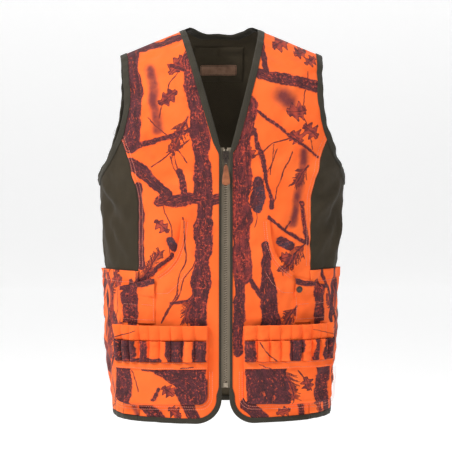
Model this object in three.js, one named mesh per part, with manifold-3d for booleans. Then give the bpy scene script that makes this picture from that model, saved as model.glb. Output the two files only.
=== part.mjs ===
// Sleeveless V-neck hunting vest with a full front zip, hand pockets, cargo pockets and a game bag.
// Millimetres, +Z up, front towards -Y, wearer's left at +X. The origin is at the shoulders.
import * as THREE from "three";
import { mergeVertices } from "three/addons/utils/BufferGeometryUtils.js";
import Module from "manifold-3d";

const wasm = await Module();
wasm.setup();

// Overall sizes
const LENGTH = 720; // hem to the neck end of the shoulder seam
const CHEST_HALF = 230; // half the width at the armpits
const HEM_HALF = 202; // half the width at the hem
const CHEST_DEPTH = 133; // half the depth at the chest
const HEM_DEPTH = 125; // half the depth at the hem
const SQUARENESS = 2.3; // exponent of the body's cross-section

// Shell
const CLOTH = 1.6; // thickness of a shell panel
const GAP = 0.5; // clearance between sewn layers
const SEAM = 1; // clearance between panels that are sewn edge to edge
const ARMPIT_Z = 0.615 * LENGTH;
const V_BOTTOM_Z = 0.69 * LENGTH;
const NECK_HALF = 69; // neck end of the shoulder seam from the centre
const SHOULDER_HALF = 188; // shoulder tip from the centre
const SHOULDER_SLOPE = 0.43;
const BACK_NECK_DROP = 12; // centre of the back neck below the shoulder's neck end
const SIDE_SEAM_X = (157 / 230) * CHEST_HALF;
const CORNER = 45; // radius of the front hem corners

// Bindings
const BIND_T = 0.8;
const HEM_BIND = 9;
const NECK_BIND = 11;
const ARM_BIND = 12;
const ZIP_BIND = 4;

// Zip
const ZIP_HALF = 8.4; // panel edge from the centre
const ZIP_BOTTOM_Z = 66;
const TAPE_T = 0.7;
const TAPE_OUT = -2.2; // outer face of the tape, below the shell's inner face
const TAPE_IN_X = 2.4;
const TAPE_EDGE_X = 18;
const TOOTH_PITCH = 8;
const TOOTH_T = 2.4;
const SLIDER_L = 15;
const SLIDER_W = 11;
const TAB_L = 23;
const TAB_W = 7.2;
const LEATHER_L = 33;
const LEATHER_W = 15;

// Hand pockets
const SLIT = 12; // width of the mouth slit
const WELT = 9; // width of the folded welt beside it
const BAG_DEEP = 20; // how far the hand pocket bag hangs inside
const FLAP_OUT = 5.4; // snapped mouth edge above the shell's inner face
const SNAP_X = 134;
const SNAP_Z = 245;

// Cargo pockets and cartridge loops
const CARGO_IN_X = 33;
const CARGO_OUT_X = (184 / 230) * CHEST_HALF;
const CARGO_BOTTOM_Z = 36;
const CARGO_TOP_Z = 182;
const CARGO_CORNER = 15;
const CARGO_NEAR = 6; // depth at the inner edge
const CARGO_FAR = 16; // further depth at the outer edge
const CARGO_GAPE = 5; // further depth at the mouth
const CARGO_T = 1.2;
const LOOPS = 9;
const LOOP_BOTTOM_Z = 117;
const LOOP_TOP_Z = 154;
const LOOP_RISE = 13.5;
const LOOP_T = 0.9;

// Game bag
const BAG_EDGE_X = (189 / 230) * CHEST_HALF;
const BAG_TOP_Z = 279;
const BAG_STAND = 30; // how far its mouth stands off the back
const BAG_T = 1.2;

// Heights and widths of the body
const SHOULDER_START = 0.6944 * LENGTH;
const SHOULDER_ARC = 0.39 * LENGTH;
const TOP = SHOULDER_START + SHOULDER_ARC;
const HEM_Z = BIND_T + 0.4; // lower edge of the shell, inside its binding
const WIDENING = [
  [0, 0],
  [0.113, 0.14],
  [0.305, 0.43],
  [0.5, 0.46],
  [0.67, 0.57],
  [0.87, 0.79],
  [1, 1],
];

// y at x on a polyline of [x, y] points with rising x
function along(points, x) {
  if (x <= points[0][0]) return points[0][1];
  for (let i = 1; i < points.length; i++) {
    const [x0, y0] = points[i - 1];
    const [x1, y1] = points[i];
    if (x <= x1) return y0 + ((y1 - y0) * (x - x0)) / (x1 - x0);
  }
  return points[points.length - 1][1];
}
const mix = (a, b, k) => a + (b - a) * k;
const smooth = (k) => {
  const c = Math.min(1, Math.max(0, k));
  return c * c * (3 - 2 * c);
};
const steps = (a, b, n) => Array.from({ length: n + 1 }, (_, i) => mix(a, b, i / n));

const halfWidth = (h) => mix(HEM_HALF, CHEST_HALF, along(WIDENING, h / ARMPIT_Z));
const halfDepth = (h) => mix(HEM_DEPTH, CHEST_DEPTH, Math.min(1, h / SHOULDER_START));
const ridge = (x) => LENGTH - SHOULDER_SLOPE * (Math.hypot(x, 40) - Math.hypot(NECK_HALF, 40));

// The body: t is the angle round it from the centre front, h the height along the cloth.
function surface(t, h) {
  const s = Math.sin(t);
  const c = Math.cos(t);
  const x = halfWidth(h) * Math.sign(s) * Math.abs(s) ** (2 / SQUARENESS);
  const f = h > SHOULDER_START ? (((h - SHOULDER_START) / SHOULDER_ARC) * Math.PI) / 2 : 0;
  const y = -halfDepth(h) * Math.sign(c) * Math.abs(c) ** (2 / SQUARENESS) * Math.cos(f);
  const z = f > 0 ? SHOULDER_START + (ridge(x) - SHOULDER_START) * Math.sin(f) : h;
  return new THREE.Vector3(x, y, z);
}

// Tangents and outward normal of the body
function frameAt(t, h) {
  const du = surface(t + 1e-3, h).sub(surface(t - 1e-3, h)).divideScalar(2e-3);
  const dv = surface(t, h + 0.5).sub(surface(t, h - 0.5));
  const n = new THREE.Vector3().crossVectors(du, dv).normalize();
  return { du, dv, n };
}
const lift = (t, h, d) => surface(t, h).addScaledVector(frameAt(t, h).n, d);

// t for a distance x from the centre at level h, on the front or the back
function turn(x, h, back) {
  const s = Math.min(1, Math.abs(x) / halfWidth(h)) ** (SQUARENESS / 2);
  const a = Math.asin(s);
  if (back) return x >= 0 ? Math.PI - a : Math.PI + a;
  return x >= 0 ? a : -a;
}
// Level h of a point at x and true height z
function level(x, z) {
  if (z <= SHOULDER_START) return z;
  const s = Math.min(1, (z - SHOULDER_START) / (ridge(x) - SHOULDER_START));
  return SHOULDER_START + (SHOULDER_ARC * Math.asin(s) * 2) / Math.PI;
}
const at = (x, z, back) => [turn(x, level(x, z), back), level(x, z)];
// t where the front-view curve x(z) crosses level h
function crossing(curve, h, back) {
  let x = curve(h);
  for (let i = 0; i < 12; i++) {
    const f = h > SHOULDER_START ? (((h - SHOULDER_START) / SHOULDER_ARC) * Math.PI) / 2 : 0;
    const z = f > 0 ? SHOULDER_START + (ridge(x) - SHOULDER_START) * Math.sin(f) : h;
    x = curve(z);
  }
  return turn(x, h, back);
}

// Builds a closed mesh from rings of points; each ring is one section, the ends are capped.
function skin(rings, cap) {
  const n = rings[0].length;
  const position = [];
  const index = [];
  for (const ring of rings) for (const p of ring) position.push(p.x, p.y, p.z);
  for (let i = 0; i + 1 < rings.length; i++) {
    for (const loop of cap.loops) {
      for (let k = 0; k < loop.length; k++) {
        const a = i * n + loop[k];
        const b = i * n + loop[(k + 1) % loop.length];
        index.push(a, b, b + n, a, b + n, a + n);
      }
    }
  }
  const last = (rings.length - 1) * n;
  for (const [a, b, c] of cap.faces) {
    index.push(a, c, b);
    index.push(last + a, last + b, last + c);
  }
  const g = new THREE.BufferGeometry();
  g.setAttribute("position", new THREE.Float32BufferAttribute(position, 3));
  g.setIndex(index);
  return outward(g);
}

// Turns a geometry's faces outward if its volume is negative
function outward(g) {
  const p = g.attributes.position;
  const ix = g.index.array;
  let volume = 0;
  const [a, b, c] = [new THREE.Vector3(), new THREE.Vector3(), new THREE.Vector3()];
  for (let i = 0; i < ix.length; i += 3) {
    a.fromBufferAttribute(p, ix[i]);
    b.fromBufferAttribute(p, ix[i + 1]);
    c.fromBufferAttribute(p, ix[i + 2]);
    volume += a.dot(b.cross(c));
  }
  if (volume < 0) {
    for (let i = 0; i < ix.length; i += 3) [ix[i + 1], ix[i + 2]] = [ix[i + 2], ix[i + 1]];
  }
  return g;
}

// A sheet on the body: place(u, v) gives [t, h], inner and outer give its two offsets.
function sheet(us, vs, place, inner, outer) {
  const g0 = new THREE.BoxGeometry(1, 1, 1, us.length - 1, vs.length - 1, 1);
  g0.deleteAttribute("normal");
  g0.deleteAttribute("uv");
  const g = mergeVertices(g0, 1e-5);
  const p = g.attributes.position;
  for (let i = 0; i < p.count; i++) {
    const u = us[Math.round((p.getX(i) + 0.5) * (us.length - 1))];
    const v = vs[Math.round((p.getY(i) + 0.5) * (vs.length - 1))];
    const [t, h] = place(u, v);
    const d = p.getZ(i) > 0 ? outer(t, h) : inner(t, h);
    const q = lift(t, h, d);
    p.setXYZ(i, q.x, q.y, q.z);
  }
  return outward(g);
}
const flat = (d) => () => d;

// A strip swept along a path of [t, h] points. Section points are [e, d]: e across the strip,
// to the right of the path seen from outside (left if side is -1), and d outward.
function strip(path, side, section) {
  const spots = path.map(([t, h]) => surface(t, h));
  const rings = path.map(([t, h], i) => {
    const { du, dv, n } = frameAt(t, h);
    const before = spots[Math.max(0, i - 1)];
    const after = spots[Math.min(spots.length - 1, i + 1)];
    const ahead = after.clone().sub(before).normalize();
    const right = new THREE.Vector3().crossVectors(ahead, n).normalize().multiplyScalar(side);
    const uu = du.dot(du);
    const uv = du.dot(dv);
    const vv = dv.dot(dv);
    const det = uu * vv - uv * uv;
    const ru = right.dot(du);
    const rv = right.dot(dv);
    const kt = (ru * vv - rv * uv) / det;
    const kh = (rv * uu - ru * uv) / det;
    return section(t, h, i / (path.length - 1)).map(([e, d]) => lift(t + kt * e, h + kh * e, d));
  });
  const count = rings[0].length;
  const flatSection = section(path[0][0], path[0][1], 0).map(([e, d]) => new THREE.Vector2(e, d));
  const faces = THREE.ShapeUtils.triangulateShape(flatSection, []);
  return skin(rings, { loops: [steps(0, count - 1, count - 1)], faces });
}
// Section of a folded binding whose outer leg is wide mm wide
function foldOver(wide) {
  const out = CLOTH + GAP;
  const low = -0.5 - GAP;
  return [
    [wide, out + BIND_T],
    [-0.4 - BIND_T, out + BIND_T],
    [-0.4 - BIND_T, low - BIND_T],
    [0.8 * wide, low - BIND_T],
    [0.8 * wide, low],
    [-0.4, low],
    [-0.4, out],
    [wide, out],
  ];
}
// Evenly spaced points on a path of [t, h] points, about gap mm apart
function even(path, gap) {
  const spots = path.map(([t, h]) => surface(t, h));
  const run = [0];
  for (let i = 1; i < spots.length; i++) run.push(run[i - 1] + spots[i].distanceTo(spots[i - 1]));
  const total = run[run.length - 1];
  const ts = run.map((s, i) => [s, path[i][0]]);
  const hs = run.map((s, i) => [s, path[i][1]]);
  return steps(0, total, Math.max(2, Math.round(total / gap))).map((s) => [along(ts, s), along(hs, s)]);
}

// Manifold-3d joins and cuts
function toSolid(g) {
  const m = mergeVertices(g.index ? g.toNonIndexed() : g, 1e-4);
  const vertProperties = new Float32Array(m.attributes.position.array);
  const triVerts = new Uint32Array(m.index.array);
  return new wasm.Manifold(new wasm.Mesh({ numProp: 3, vertProperties, triVerts }));
}
function bare(g) {
  g.deleteAttribute("normal");
  g.deleteAttribute("uv");
  return g;
}
function fromSolid(s) {
  const m = s.getMesh();
  const g = new THREE.BufferGeometry();
  const p = new Float32Array(m.numVert * 3);
  for (let i = 0; i < m.numVert; i++) {
    p.set(m.vertProperties.subarray(i * m.numProp, i * m.numProp + 3), i * 3);
  }
  g.setAttribute("position", new THREE.BufferAttribute(p, 3));
  g.setIndex(new THREE.BufferAttribute(new Uint32Array(m.triVerts), 1));
  return g;
}
const join = (list) => fromSolid(list.map(toSolid).reduce((a, b) => a.add(b)));
const cut = (g, list) => fromSolid(list.map(toSolid).reduce((a, b) => a.subtract(b), toSolid(g)));
// A box from its low and high corners
function block(x0, x1, y0, y1, z0, z1) {
  const g = bare(new THREE.BoxGeometry(x1 - x0, y1 - y0, z1 - z0));
  return g.translate((x0 + x1) / 2, (y0 + y1) / 2, (z0 + z1) / 2);
}

const group = new THREE.Group();
group.position.z = -LENGTH;
function add(name, g) {
  const mesh = new THREE.Mesh(g, new THREE.MeshStandardMaterial({ color: 0xff7a30 }));
  mesh.name = name;
  group.add(mesh);
  return mesh;
}
// Adds a piece on the left and its mirror image on the right
function pair(name, g) {
  add(name + "_left", g);
  const m = g.clone();
  m.scale(-1, 1, 1);
  const ix = m.index.array;
  for (let i = 0; i < ix.length; i += 3) [ix[i + 1], ix[i + 2]] = [ix[i + 2], ix[i + 1]];
  add(name + "_right", m);
}

// ---- Edges of the shell panels ----
const kz = LENGTH / 720;
const kx = CHEST_HALF / 230;
const SIDE_SEAM = [
  [0, SIDE_SEAM_X],
  [410 * kz, SIDE_SEAM_X],
  [436 * kz, 162 * kx],
  [489 * kz, 175 * kx],
  [530 * kz, 193 * kx],
  [560 * kz, 208 * kx],
];
const sideSeam = (z) => along(SIDE_SEAM, z);
const tip = ridge(SHOULDER_HALF);
// Armhole, as [x, z] points from the shoulder tip down: it curves in from the tip, then out to the chest
const armX = (inset, k) => mix(SHOULDER_HALF - inset, CHEST_HALF, k);
const ARM_FRONT = [
  [SHOULDER_HALF, tip],
  [armX(5.5, 0), 0.86 * LENGTH],
  [armX(6, 0), 0.812 * LENGTH],
  [armX(6, 8 / 48), 0.75 * LENGTH],
  [armX(6, 23 / 48), 0.6945 * LENGTH],
  [armX(6, 39 / 48), 0.643 * LENGTH],
];
const ARM_BACK = [
  [SHOULDER_HALF, tip],
  [armX(2.5, 0), 0.86 * LENGTH],
  [armX(2, 0), 0.812 * LENGTH],
  [armX(2, 8 / 44), 0.75 * LENGTH],
  [armX(2, 22 / 44), 0.6945 * LENGTH],
  [armX(2, 36 / 44), 0.643 * LENGTH],
];
const armKnots = [
  ...ARM_FRONT.map(([x, z]) => at(x, z, false)),
  [Math.PI / 2, ARMPIT_Z],
  ...ARM_BACK.map(([x, z]) => at(x, z, true)).reverse(),
];
armKnots[0][1] = TOP;
armKnots[armKnots.length - 1][1] = TOP;
const armCurve = new THREE.CatmullRomCurve3(
  armKnots.map(([t, h]) => new THREE.Vector3(t * 200, h, 0)),
  false,
  "centripetal",
);
const armPoints = armCurve.getPoints(400).map((p) => [p.x / 200, p.y]);
const armLow = armPoints.reduce((best, p, i) => (p[1] < armPoints[best][1] ? i : best), 0);
const armFrontT = (h) => along(armPoints.slice(0, armLow + 1).reverse().map(([t, hh]) => [hh, t]), h);
const armBackT = (h) => along(armPoints.slice(armLow).map(([t, hh]) => [hh, t]), h);
const seamFrontT = (h) => crossing(sideSeam, h, false);
const seamBackT = (h) => crossing((z) => sideSeam(z) + 3, h, true);
const frontOuterT = (h) => (h > ARMPIT_Z ? Math.min(seamFrontT(h), armFrontT(h)) : seamFrontT(h));
const backOuterT = (h) => (h > ARMPIT_Z ? Math.max(seamBackT(h), armBackT(h)) : seamBackT(h));
// Index of the armhole points where the two side seams meet it
const meetFront = armPoints.findIndex(([t, h]) => t >= seamFrontT(h));
const meetBack = armPoints.length - 1 - [...armPoints].reverse().findIndex(([t, h]) => t <= seamBackT(h));

// Front edge of the left front panel: hem corner, zip edge, then the V
function frontEdge(z) {
  const rise = z - HEM_Z;
  if (rise < CORNER) return ZIP_HALF + CORNER - Math.sqrt(CORNER ** 2 - (CORNER - rise) ** 2);
  if (z < V_BOTTOM_Z) return ZIP_HALF;
  return mix(ZIP_HALF, NECK_HALF, (z - V_BOTTOM_Z) / (LENGTH - V_BOTTOM_Z));
}
const frontInnerT = (h) => crossing(frontEdge, h, false);

// ---- Hand pocket mouth: a curve in the front view, from its top down ----
const mouthCurve = new THREE.CatmullRomCurve3(
  [[75, 374], [79, 338], [89, 308], [105, 286], [124, 271]].map(([x, z]) => new THREE.Vector3(x * kx, z * kz, 0)),
);
const mouthPath = mouthCurve.getPoints(14).map((p) => at(p.x, p.y, false));

// ---- Front panels, cut open at the pocket mouth ----
const frontRows = [
  HEM_Z, HEM_Z + 2, HEM_Z + 7, HEM_Z + 16, HEM_Z + 29, HEM_Z + CORNER,
  ...steps(ZIP_BOTTOM_Z + 24, 0.58 * LENGTH, 7),
  ...steps(0.6 * LENGTH, V_BOTTOM_Z, 4),
  ...steps(V_BOTTOM_Z, TOP - 0.3, 12).slice(1),
];
const across = steps(0, 1, 9);
const frontPanel = sheet(
  across,
  frontRows,
  (u, h) => {
    const a = frontInnerT(h);
    const b = turnBack(frontOuterT(h), h, -SEAM / 2);
    return [mix(a, b, u), h];
  },
  flat(0),
  flat(CLOTH),
);
// Moves t along the level by mm millimetres
function turnBack(t, h, mm) {
  return t + mm / frameAt(t, h).du.length();
}
const slitPath = mouthPath.slice(1, -1);
const slit = strip(slitPath, -1, () => [
  [WELT / 2, CLOTH + 4],
  [WELT / 2, -4],
  [WELT / 2 + SLIT, -4],
  [WELT / 2 + SLIT, CLOTH + 4],
]);
pair("front_panel", cut(frontPanel, [slit]));

// ---- Side panels ----
const sideHigh = armPoints.slice(meetFront, meetBack + 1).map(([t, h]) => {
  const a = seamFrontT(h);
  const b = seamBackT(h);
  return [(t - a) / (b - a), h];
});
const sidePanel = sheet(
  steps(0, 1, 18),
  [0, 0.02, ...steps(0.12, 0.74, 5), ...steps(0.78, 1, 8)],
  (u, v) => {
    const h = mix(HEM_Z, along(sideHigh, u) - 1.2, v);
    const a = turnBack(seamFrontT(h), h, SEAM / 2);
    const b = turnBack(seamBackT(h), h, -SEAM / 2);
    return [mix(a, b, u), h];
  },
  flat(0),
  flat(CLOTH),
);
pair("side_panel", sidePanel);

// ---- Back panel ----
const neckAngle = Math.asin((NECK_HALF / halfWidth(TOP)) ** (SQUARENESS / 2));
const neckLow = level(0, LENGTH - BACK_NECK_DROP);
function backTop(t) {
  const k = Math.abs(t - Math.PI) / neckAngle;
  if (k >= 1) return TOP - 0.3;
  return mix(neckLow, TOP - 0.3, k ** 3);
}
const topOuter = backOuterT(TOP);
const neckU = (Math.PI - neckAngle - topOuter) / (2 * (Math.PI - topOuter));
const neckUs = steps(0, Math.PI, 18).map((a) => mix(neckU, 1 - neckU, (1 - Math.cos(a)) / 2));
const backUs = [...steps(0, neckU, 5), ...neckUs.slice(1), ...steps(1 - neckU, 1, 5).slice(1)];
// Level of the back panel's upper edge at a share u of its width
function backEdge(u) {
  let h = TOP;
  for (let i = 0; i < 40; i++) {
    const a = backOuterT(h);
    h = mix(h, backTop(mix(a, 2 * Math.PI - a, u)), 0.5);
  }
  return u > neckU && u < 1 - neckU ? h - 2 : h;
}
const backPanel = sheet(
  backUs,
  [0, 0.02, ...steps(0.1, 0.52, 4), ...steps(0.54, 0.72, 7), ...steps(0.74, 1, 13)],
  (u, v) => {
    const h = mix(HEM_Z, backEdge(u), v);
    const a = turnBack(backOuterT(h), h, SEAM / 2);
    return [mix(a, 2 * Math.PI - a, u), h];
  },
  flat(0),
  flat(CLOTH),
);
add("back_panel", backPanel);

// ---- Bindings ----
const hemFront = even(
  steps(turnBack(seamFrontT(HEM_Z), HEM_Z, -1), turn(ZIP_HALF + CORNER, HEM_Z, false), 12).map((t) => [t, HEM_Z]),
  16,
);
const cornerArc = steps(0, 90, 7)
  .slice(1)
  .map((deg) => {
    const a = (deg * Math.PI) / 180;
    return at(ZIP_HALF + CORNER * (1 - Math.sin(a)), HEM_Z + CORNER * (1 - Math.cos(a)), false);
  });
const zipEdge = steps(HEM_Z + CORNER, V_BOTTOM_Z, 10).slice(1).map((z) => at(ZIP_HALF, z, false));
const vEdge = even(steps(V_BOTTOM_Z, TOP - 0.4, 40).map((h) => [frontInnerT(h), h]), 16).slice(1);
const frontEdgePath = [...hemFront, ...cornerArc, ...zipEdge, ...vEdge];
const cornerEnd = hemFront.length + cornerArc.length - 1;
const zipEnd = cornerEnd + zipEdge.length;
pair(
  "front_binding",
  strip(frontEdgePath, 1, (t, h, k) => {
    const i = k * (frontEdgePath.length - 1);
    const hemToZip = smooth((i - cornerEnd + 2) / 3);
    const zipToNeck = smooth((i - zipEnd + 1) / 2);
    return foldOver(mix(mix(HEM_BIND, ZIP_BIND, hemToZip), NECK_BIND, zipToNeck));
  }),
);
const seamStart = turnBack(seamFrontT(HEM_Z), HEM_Z, 0);
add(
  "hem_binding_back",
  strip(
    even(steps(seamStart, 2 * Math.PI - seamStart, 90).map((t) => [t, HEM_Z]), 15),
    -1,
    () => foldOver(HEM_BIND),
  ),
);
const neckPath = steps(Math.PI - neckAngle + 0.006, Math.PI + neckAngle - 0.006, 80).map((t) => [t, backTop(t)]);
add("neck_binding_back", strip(even(neckPath, 8), 1, () => foldOver(NECK_BIND)));
pair(
  "armhole_binding_front",
  strip(
    even(armPoints.slice(0, meetFront).map(([t, h]) => [t, Math.min(h, TOP - 0.4)]), 14),
    1,
    () => foldOver(ARM_BIND),
  ),
);
pair(
  "armhole_binding_back",
  strip(
    even(armPoints.slice(meetFront + 1).map(([t, h]) => [t, Math.min(h, TOP - 0.4)]), 12),
    1,
    () => foldOver(ARM_BIND),
  ),
);

// ---- Neck facing and label inside the back ----
const facing = sheet(
  steps(-47, 47, 6),
  steps(0.878 * LENGTH, 0.962 * LENGTH, 5),
  (x, z) => at(x, z, true),
  flat(-1.7),
  flat(-0.9),
);
add("neck_facing", facing);
add(
  "neck_label",
  sheet(
    steps(-35.5, 35.5, 5),
    steps(0.889 * LENGTH, 0.917 * LENGTH, 2),
    (x, z) => at(x, z, true),
    flat(-3),
    flat(-2.2),
  ),
);

// ---- Game bag across the back and round the sides ----
const bagA = turn(BAG_EDGE_X, BAG_TOP_Z, false);
const bagB = 2 * Math.PI - bagA;
function bagSpot(u, h) {
  const a = turn(BAG_EDGE_X, h, false);
  return [mix(a, 2 * Math.PI - a, u), h];
}
const bagZ0 = HEM_Z + HEM_BIND + 1.2;
function bagOut(t, h) {
  const k = (t - bagA) / (bagB - bagA);
  const side = smooth((k - 0.1) / 0.2) * smooth((0.9 - k) / 0.2);
  return CLOTH + 2 * GAP + BAG_STAND * side * smooth((h - bagZ0) / (0.55 * (BAG_TOP_Z - bagZ0)));
}
add(
  "game_bag",
  sheet(
    steps(0, 1, 42),
    steps(bagZ0, BAG_TOP_Z - 12, 6),
    bagSpot,
    bagOut,
    (t, h) => bagOut(t, h) + BAG_T,
  ),
);
add(
  "game_bag_hem",
  sheet(
    steps(0, 1, 42),
    steps(BAG_TOP_Z - 11.5, BAG_TOP_Z, 1),
    bagSpot,
    bagOut,
    (t, h) => bagOut(t, h) + BAG_T + 0.6,
  ),
);

// ---- Zip tapes and teeth ----
const zipTop = V_BOTTOM_Z + 7;
pair(
  "zip_tape",
  sheet(
    [TAPE_IN_X, TAPE_EDGE_X],
    [ZIP_BOTTOM_Z, ...steps(ZIP_BOTTOM_Z + 60, zipTop, 5)],
    (x, z) => at(x, z, false),
    flat(TAPE_OUT - TAPE_T),
    flat(TAPE_OUT),
  ),
);
const chainMid = TAPE_OUT - TAPE_T / 2;
const sliderTop = V_BOTTOM_Z + 2;
const sliderMid = sliderTop - SLIDER_L / 2;
// A comb of teeth on one tape: cells [x0, x1] x [z0, z1], filled where the tooth or its cord is
function comb(first) {
  const cord = [TAPE_IN_X - 0.9, TAPE_IN_X - 0.35];
  const far = -(TAPE_IN_X - 1.25);
  const rows = [];
  const count = Math.floor((sliderTop - 5 - (ZIP_BOTTOM_Z + 12)) / TOOTH_PITCH);
  for (let i = 0; i < count; i++) {
    const z = ZIP_BOTTOM_Z + 12 + (i + first) * TOOTH_PITCH;
    rows.push([z, z + 0.36 * TOOTH_PITCH]);
  }
  const outline = [[cord[1], rows[0][0]]];
  for (const [a, b] of rows) outline.push([cord[0], a], [far, a], [far, b], [cord[0], b]);
  outline.push([cord[1], rows[rows.length - 1][1]]);
  return { rows, cord, far };
}
function combGeometry(first) {
  const { rows, cord, far } = comb(first);
  const position = [];
  const index = [];
  const put = (x, z, d) => {
    const [t, h] = at(x, z, false);
    const q = lift(t, h, d);
    position.push(q.x, q.y, q.z);
    return position.length / 3 - 1;
  };
  const lows = [];
  for (const z of rows.flat()) {
    const ring = [];
    for (const d of [chainMid - TOOTH_T / 2, chainMid + TOOTH_T / 2]) {
      ring.push([put(cord[1], z, d), put(cord[0], z, d), put(far, z, d)]);
    }
    lows.push(ring);
  }
  const quad = (a, b, c, d) => index.push(a, b, c, a, c, d);
  for (let i = 0; i + 1 < lows.length; i++) {
    const [b0, f0] = lows[i];
    const [b1, f1] = lows[i + 1];
    quad(b0[0], b1[0], b1[1], b0[1]);
    quad(f0[0], f0[1], f1[1], f1[0]);
    quad(b0[0], f0[0], f1[0], b1[0]);
    if (i % 2 === 0) {
      quad(b0[1], b1[1], b1[2], b0[2]);
      quad(f0[1], f0[2], f1[2], f1[1]);
      quad(b0[2], b1[2], f1[2], f0[2]);
    } else {
      quad(b0[1], b1[1], f1[1], f0[1]);
    }
  }
  for (let i = 0; i < lows.length; i++) {
    const [b, f] = lows[i];
    if (i % 2 === 0) quad(b[1], b[2], f[2], f[1]);
    else quad(b[1], f[1], f[2], b[2]);
  }
  const [b, f] = lows[0];
  quad(b[0], b[1], f[1], f[0]);
  const [c, e] = lows[lows.length - 1];
  quad(c[0], e[0], e[1], c[1]);
  const g = new THREE.BufferGeometry();
  g.setAttribute("position", new THREE.Float32BufferAttribute(position, 3));
  g.setIndex(index);
  return outward(g);
}
add("zip_teeth_left", combGeometry(0));
const rightComb = combGeometry(0.5);
rightComb.scale(-1, 1, 1);
add("zip_teeth_right", outward(rightComb));

// ---- Zip ends and slider, in a frame on the centre front: X across, -Y outward, Z up the zip ----
const lean = Math.atan((CHEST_DEPTH - HEM_DEPTH) / SHOULDER_START);
function onZip(g, z) {
  g.rotateX(-lean);
  const spot = surface(0, z);
  return g.translate(spot.x, spot.y, spot.z);
}
// A box given by x, outward distance and height in that frame
const zipBlock = (x0, x1, d0, d1, z0, z1) => block(x0, x1, -d1, -d0, z0, z1);
const chainIn = chainMid - TOOTH_T / 2;
const chainOut = chainMid + TOOTH_T / 2;
add("zip_top_stop_left", onZip(zipBlock(1.1, 4.4, TAPE_OUT + 0.3, TAPE_OUT + 1.3, 0.6, 3.4), sliderTop));
add("zip_top_stop_right", onZip(zipBlock(-4.4, -1.1, TAPE_OUT + 0.3, TAPE_OUT + 1.3, 0.6, 3.4), sliderTop));
const boxZ = ZIP_BOTTOM_Z + 1;
add(
  "zip_retainer_box",
  onZip(
    join([
      zipBlock(-4.2, 4.6, TAPE_OUT + 0.3, TAPE_OUT + 1.4, 0, 8),
      zipBlock(-4.2, 4.6, TAPE_OUT - TAPE_T - 1.4, TAPE_OUT - TAPE_T - 0.3, 0, 8),
      zipBlock(0.2, 2, TAPE_OUT - TAPE_T - 0.4, TAPE_OUT + 0.4, 0, 8),
    ]),
    boxZ,
  ),
);
add("zip_insertion_pin", onZip(zipBlock(-2, -0.4, chainMid - 0.35, chainMid + 0.35, 0.4, 10.4), boxZ));

const half = SLIDER_L / 2;
const plateOut = chainOut + 0.35;
const plateIn = chainIn - 0.35;
const bailOut = plateOut + 4.2;
const pinOut = plateOut + 1.5;
const pinZ = 2.5;
add(
  "zip_slider",
  onZip(
    join([
      zipBlock(-SLIDER_W / 2, SLIDER_W / 2, plateOut, plateOut + 1.1, -half, half),
      zipBlock(-SLIDER_W / 2, SLIDER_W / 2, plateIn - 1.1, plateIn, -half, half),
      zipBlock(-0.85, 0.85, plateIn - 0.2, plateOut + 0.2, half - 3.6, half),
      zipBlock(-SLIDER_W / 2, -SLIDER_W / 2 + 1, TAPE_OUT + 0.4, plateOut + 0.2, -half, half),
      zipBlock(SLIDER_W / 2 - 1, SLIDER_W / 2, TAPE_OUT + 0.4, plateOut + 0.2, -half, half),
      zipBlock(-SLIDER_W / 2, -SLIDER_W / 2 + 1, plateIn - 0.2, TAPE_OUT - TAPE_T - 0.4, -half, half),
      zipBlock(SLIDER_W / 2 - 1, SLIDER_W / 2, plateIn - 0.2, TAPE_OUT - TAPE_T - 0.4, -half, half),
      zipBlock(-1.2, 1.2, plateOut + 1, bailOut, -5, -3.6),
      zipBlock(-1.2, 1.2, plateOut + 1, bailOut, 5.2, 6.6),
      zipBlock(-1.2, 1.2, bailOut - 1, bailOut, -5, 6.6),
    ]),
    sliderMid,
  ),
);

// Metal tab: a pin under the slider's bail, two arms and a plate with a window at its lower end
const tabLean = 0.12;
function onTab(g) {
  g.rotateX(-tabLean);
  g.translate(0, -(pinOut + 0.5), pinZ);
  return onZip(g, sliderMid);
}
const barZ = -TAB_L + 1;
add(
  "pull_tab",
  onTab(
    join([
      zipBlock(-TAB_W / 2, TAB_W / 2, -0.5, 0.5, -0.7, 0.7),
      zipBlock(-TAB_W / 2, -TAB_W / 2 + 1.4, -0.5, 0.5, barZ - 0.7, 0.7),
      zipBlock(TAB_W / 2 - 1.4, TAB_W / 2, -0.5, 0.5, barZ - 0.7, 0.7),
      zipBlock(-TAB_W / 2, TAB_W / 2, -0.5, 0.5, barZ + 6, -9.5),
      zipBlock(-TAB_W / 2, TAB_W / 2, -0.5, 0.5, barZ - 0.7, barZ + 0.7),
    ]),
  ),
);
const drop = new THREE.Shape();
drop.moveTo(-0.27 * LEATHER_W, 0);
drop.lineTo(-0.5 * LEATHER_W, -0.72 * LEATHER_L);
drop.quadraticCurveTo(-0.5 * LEATHER_W, -LEATHER_L, 0, -LEATHER_L);
drop.quadraticCurveTo(0.5 * LEATHER_W, -LEATHER_L, 0.5 * LEATHER_W, -0.72 * LEATHER_L);
drop.lineTo(0.27 * LEATHER_W, 0);
const leatherBody = bare(new THREE.ExtrudeGeometry(drop, { depth: 2.2, bevelEnabled: false, curveSegments: 6 }));
leatherBody.rotateX(Math.PI / 2);
leatherBody.translate(0, 1.1, barZ - 2);
add(
  "leather_pull",
  onTab(
    cut(join([leatherBody, zipBlock(-1.9, 1.9, -1.7, 1.7, barZ - 5, barZ + 2.3)]), [
      zipBlock(-3, 3, -0.95, 0.95, barZ - 1, barZ + 1),
    ]),
  ),
);

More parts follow.
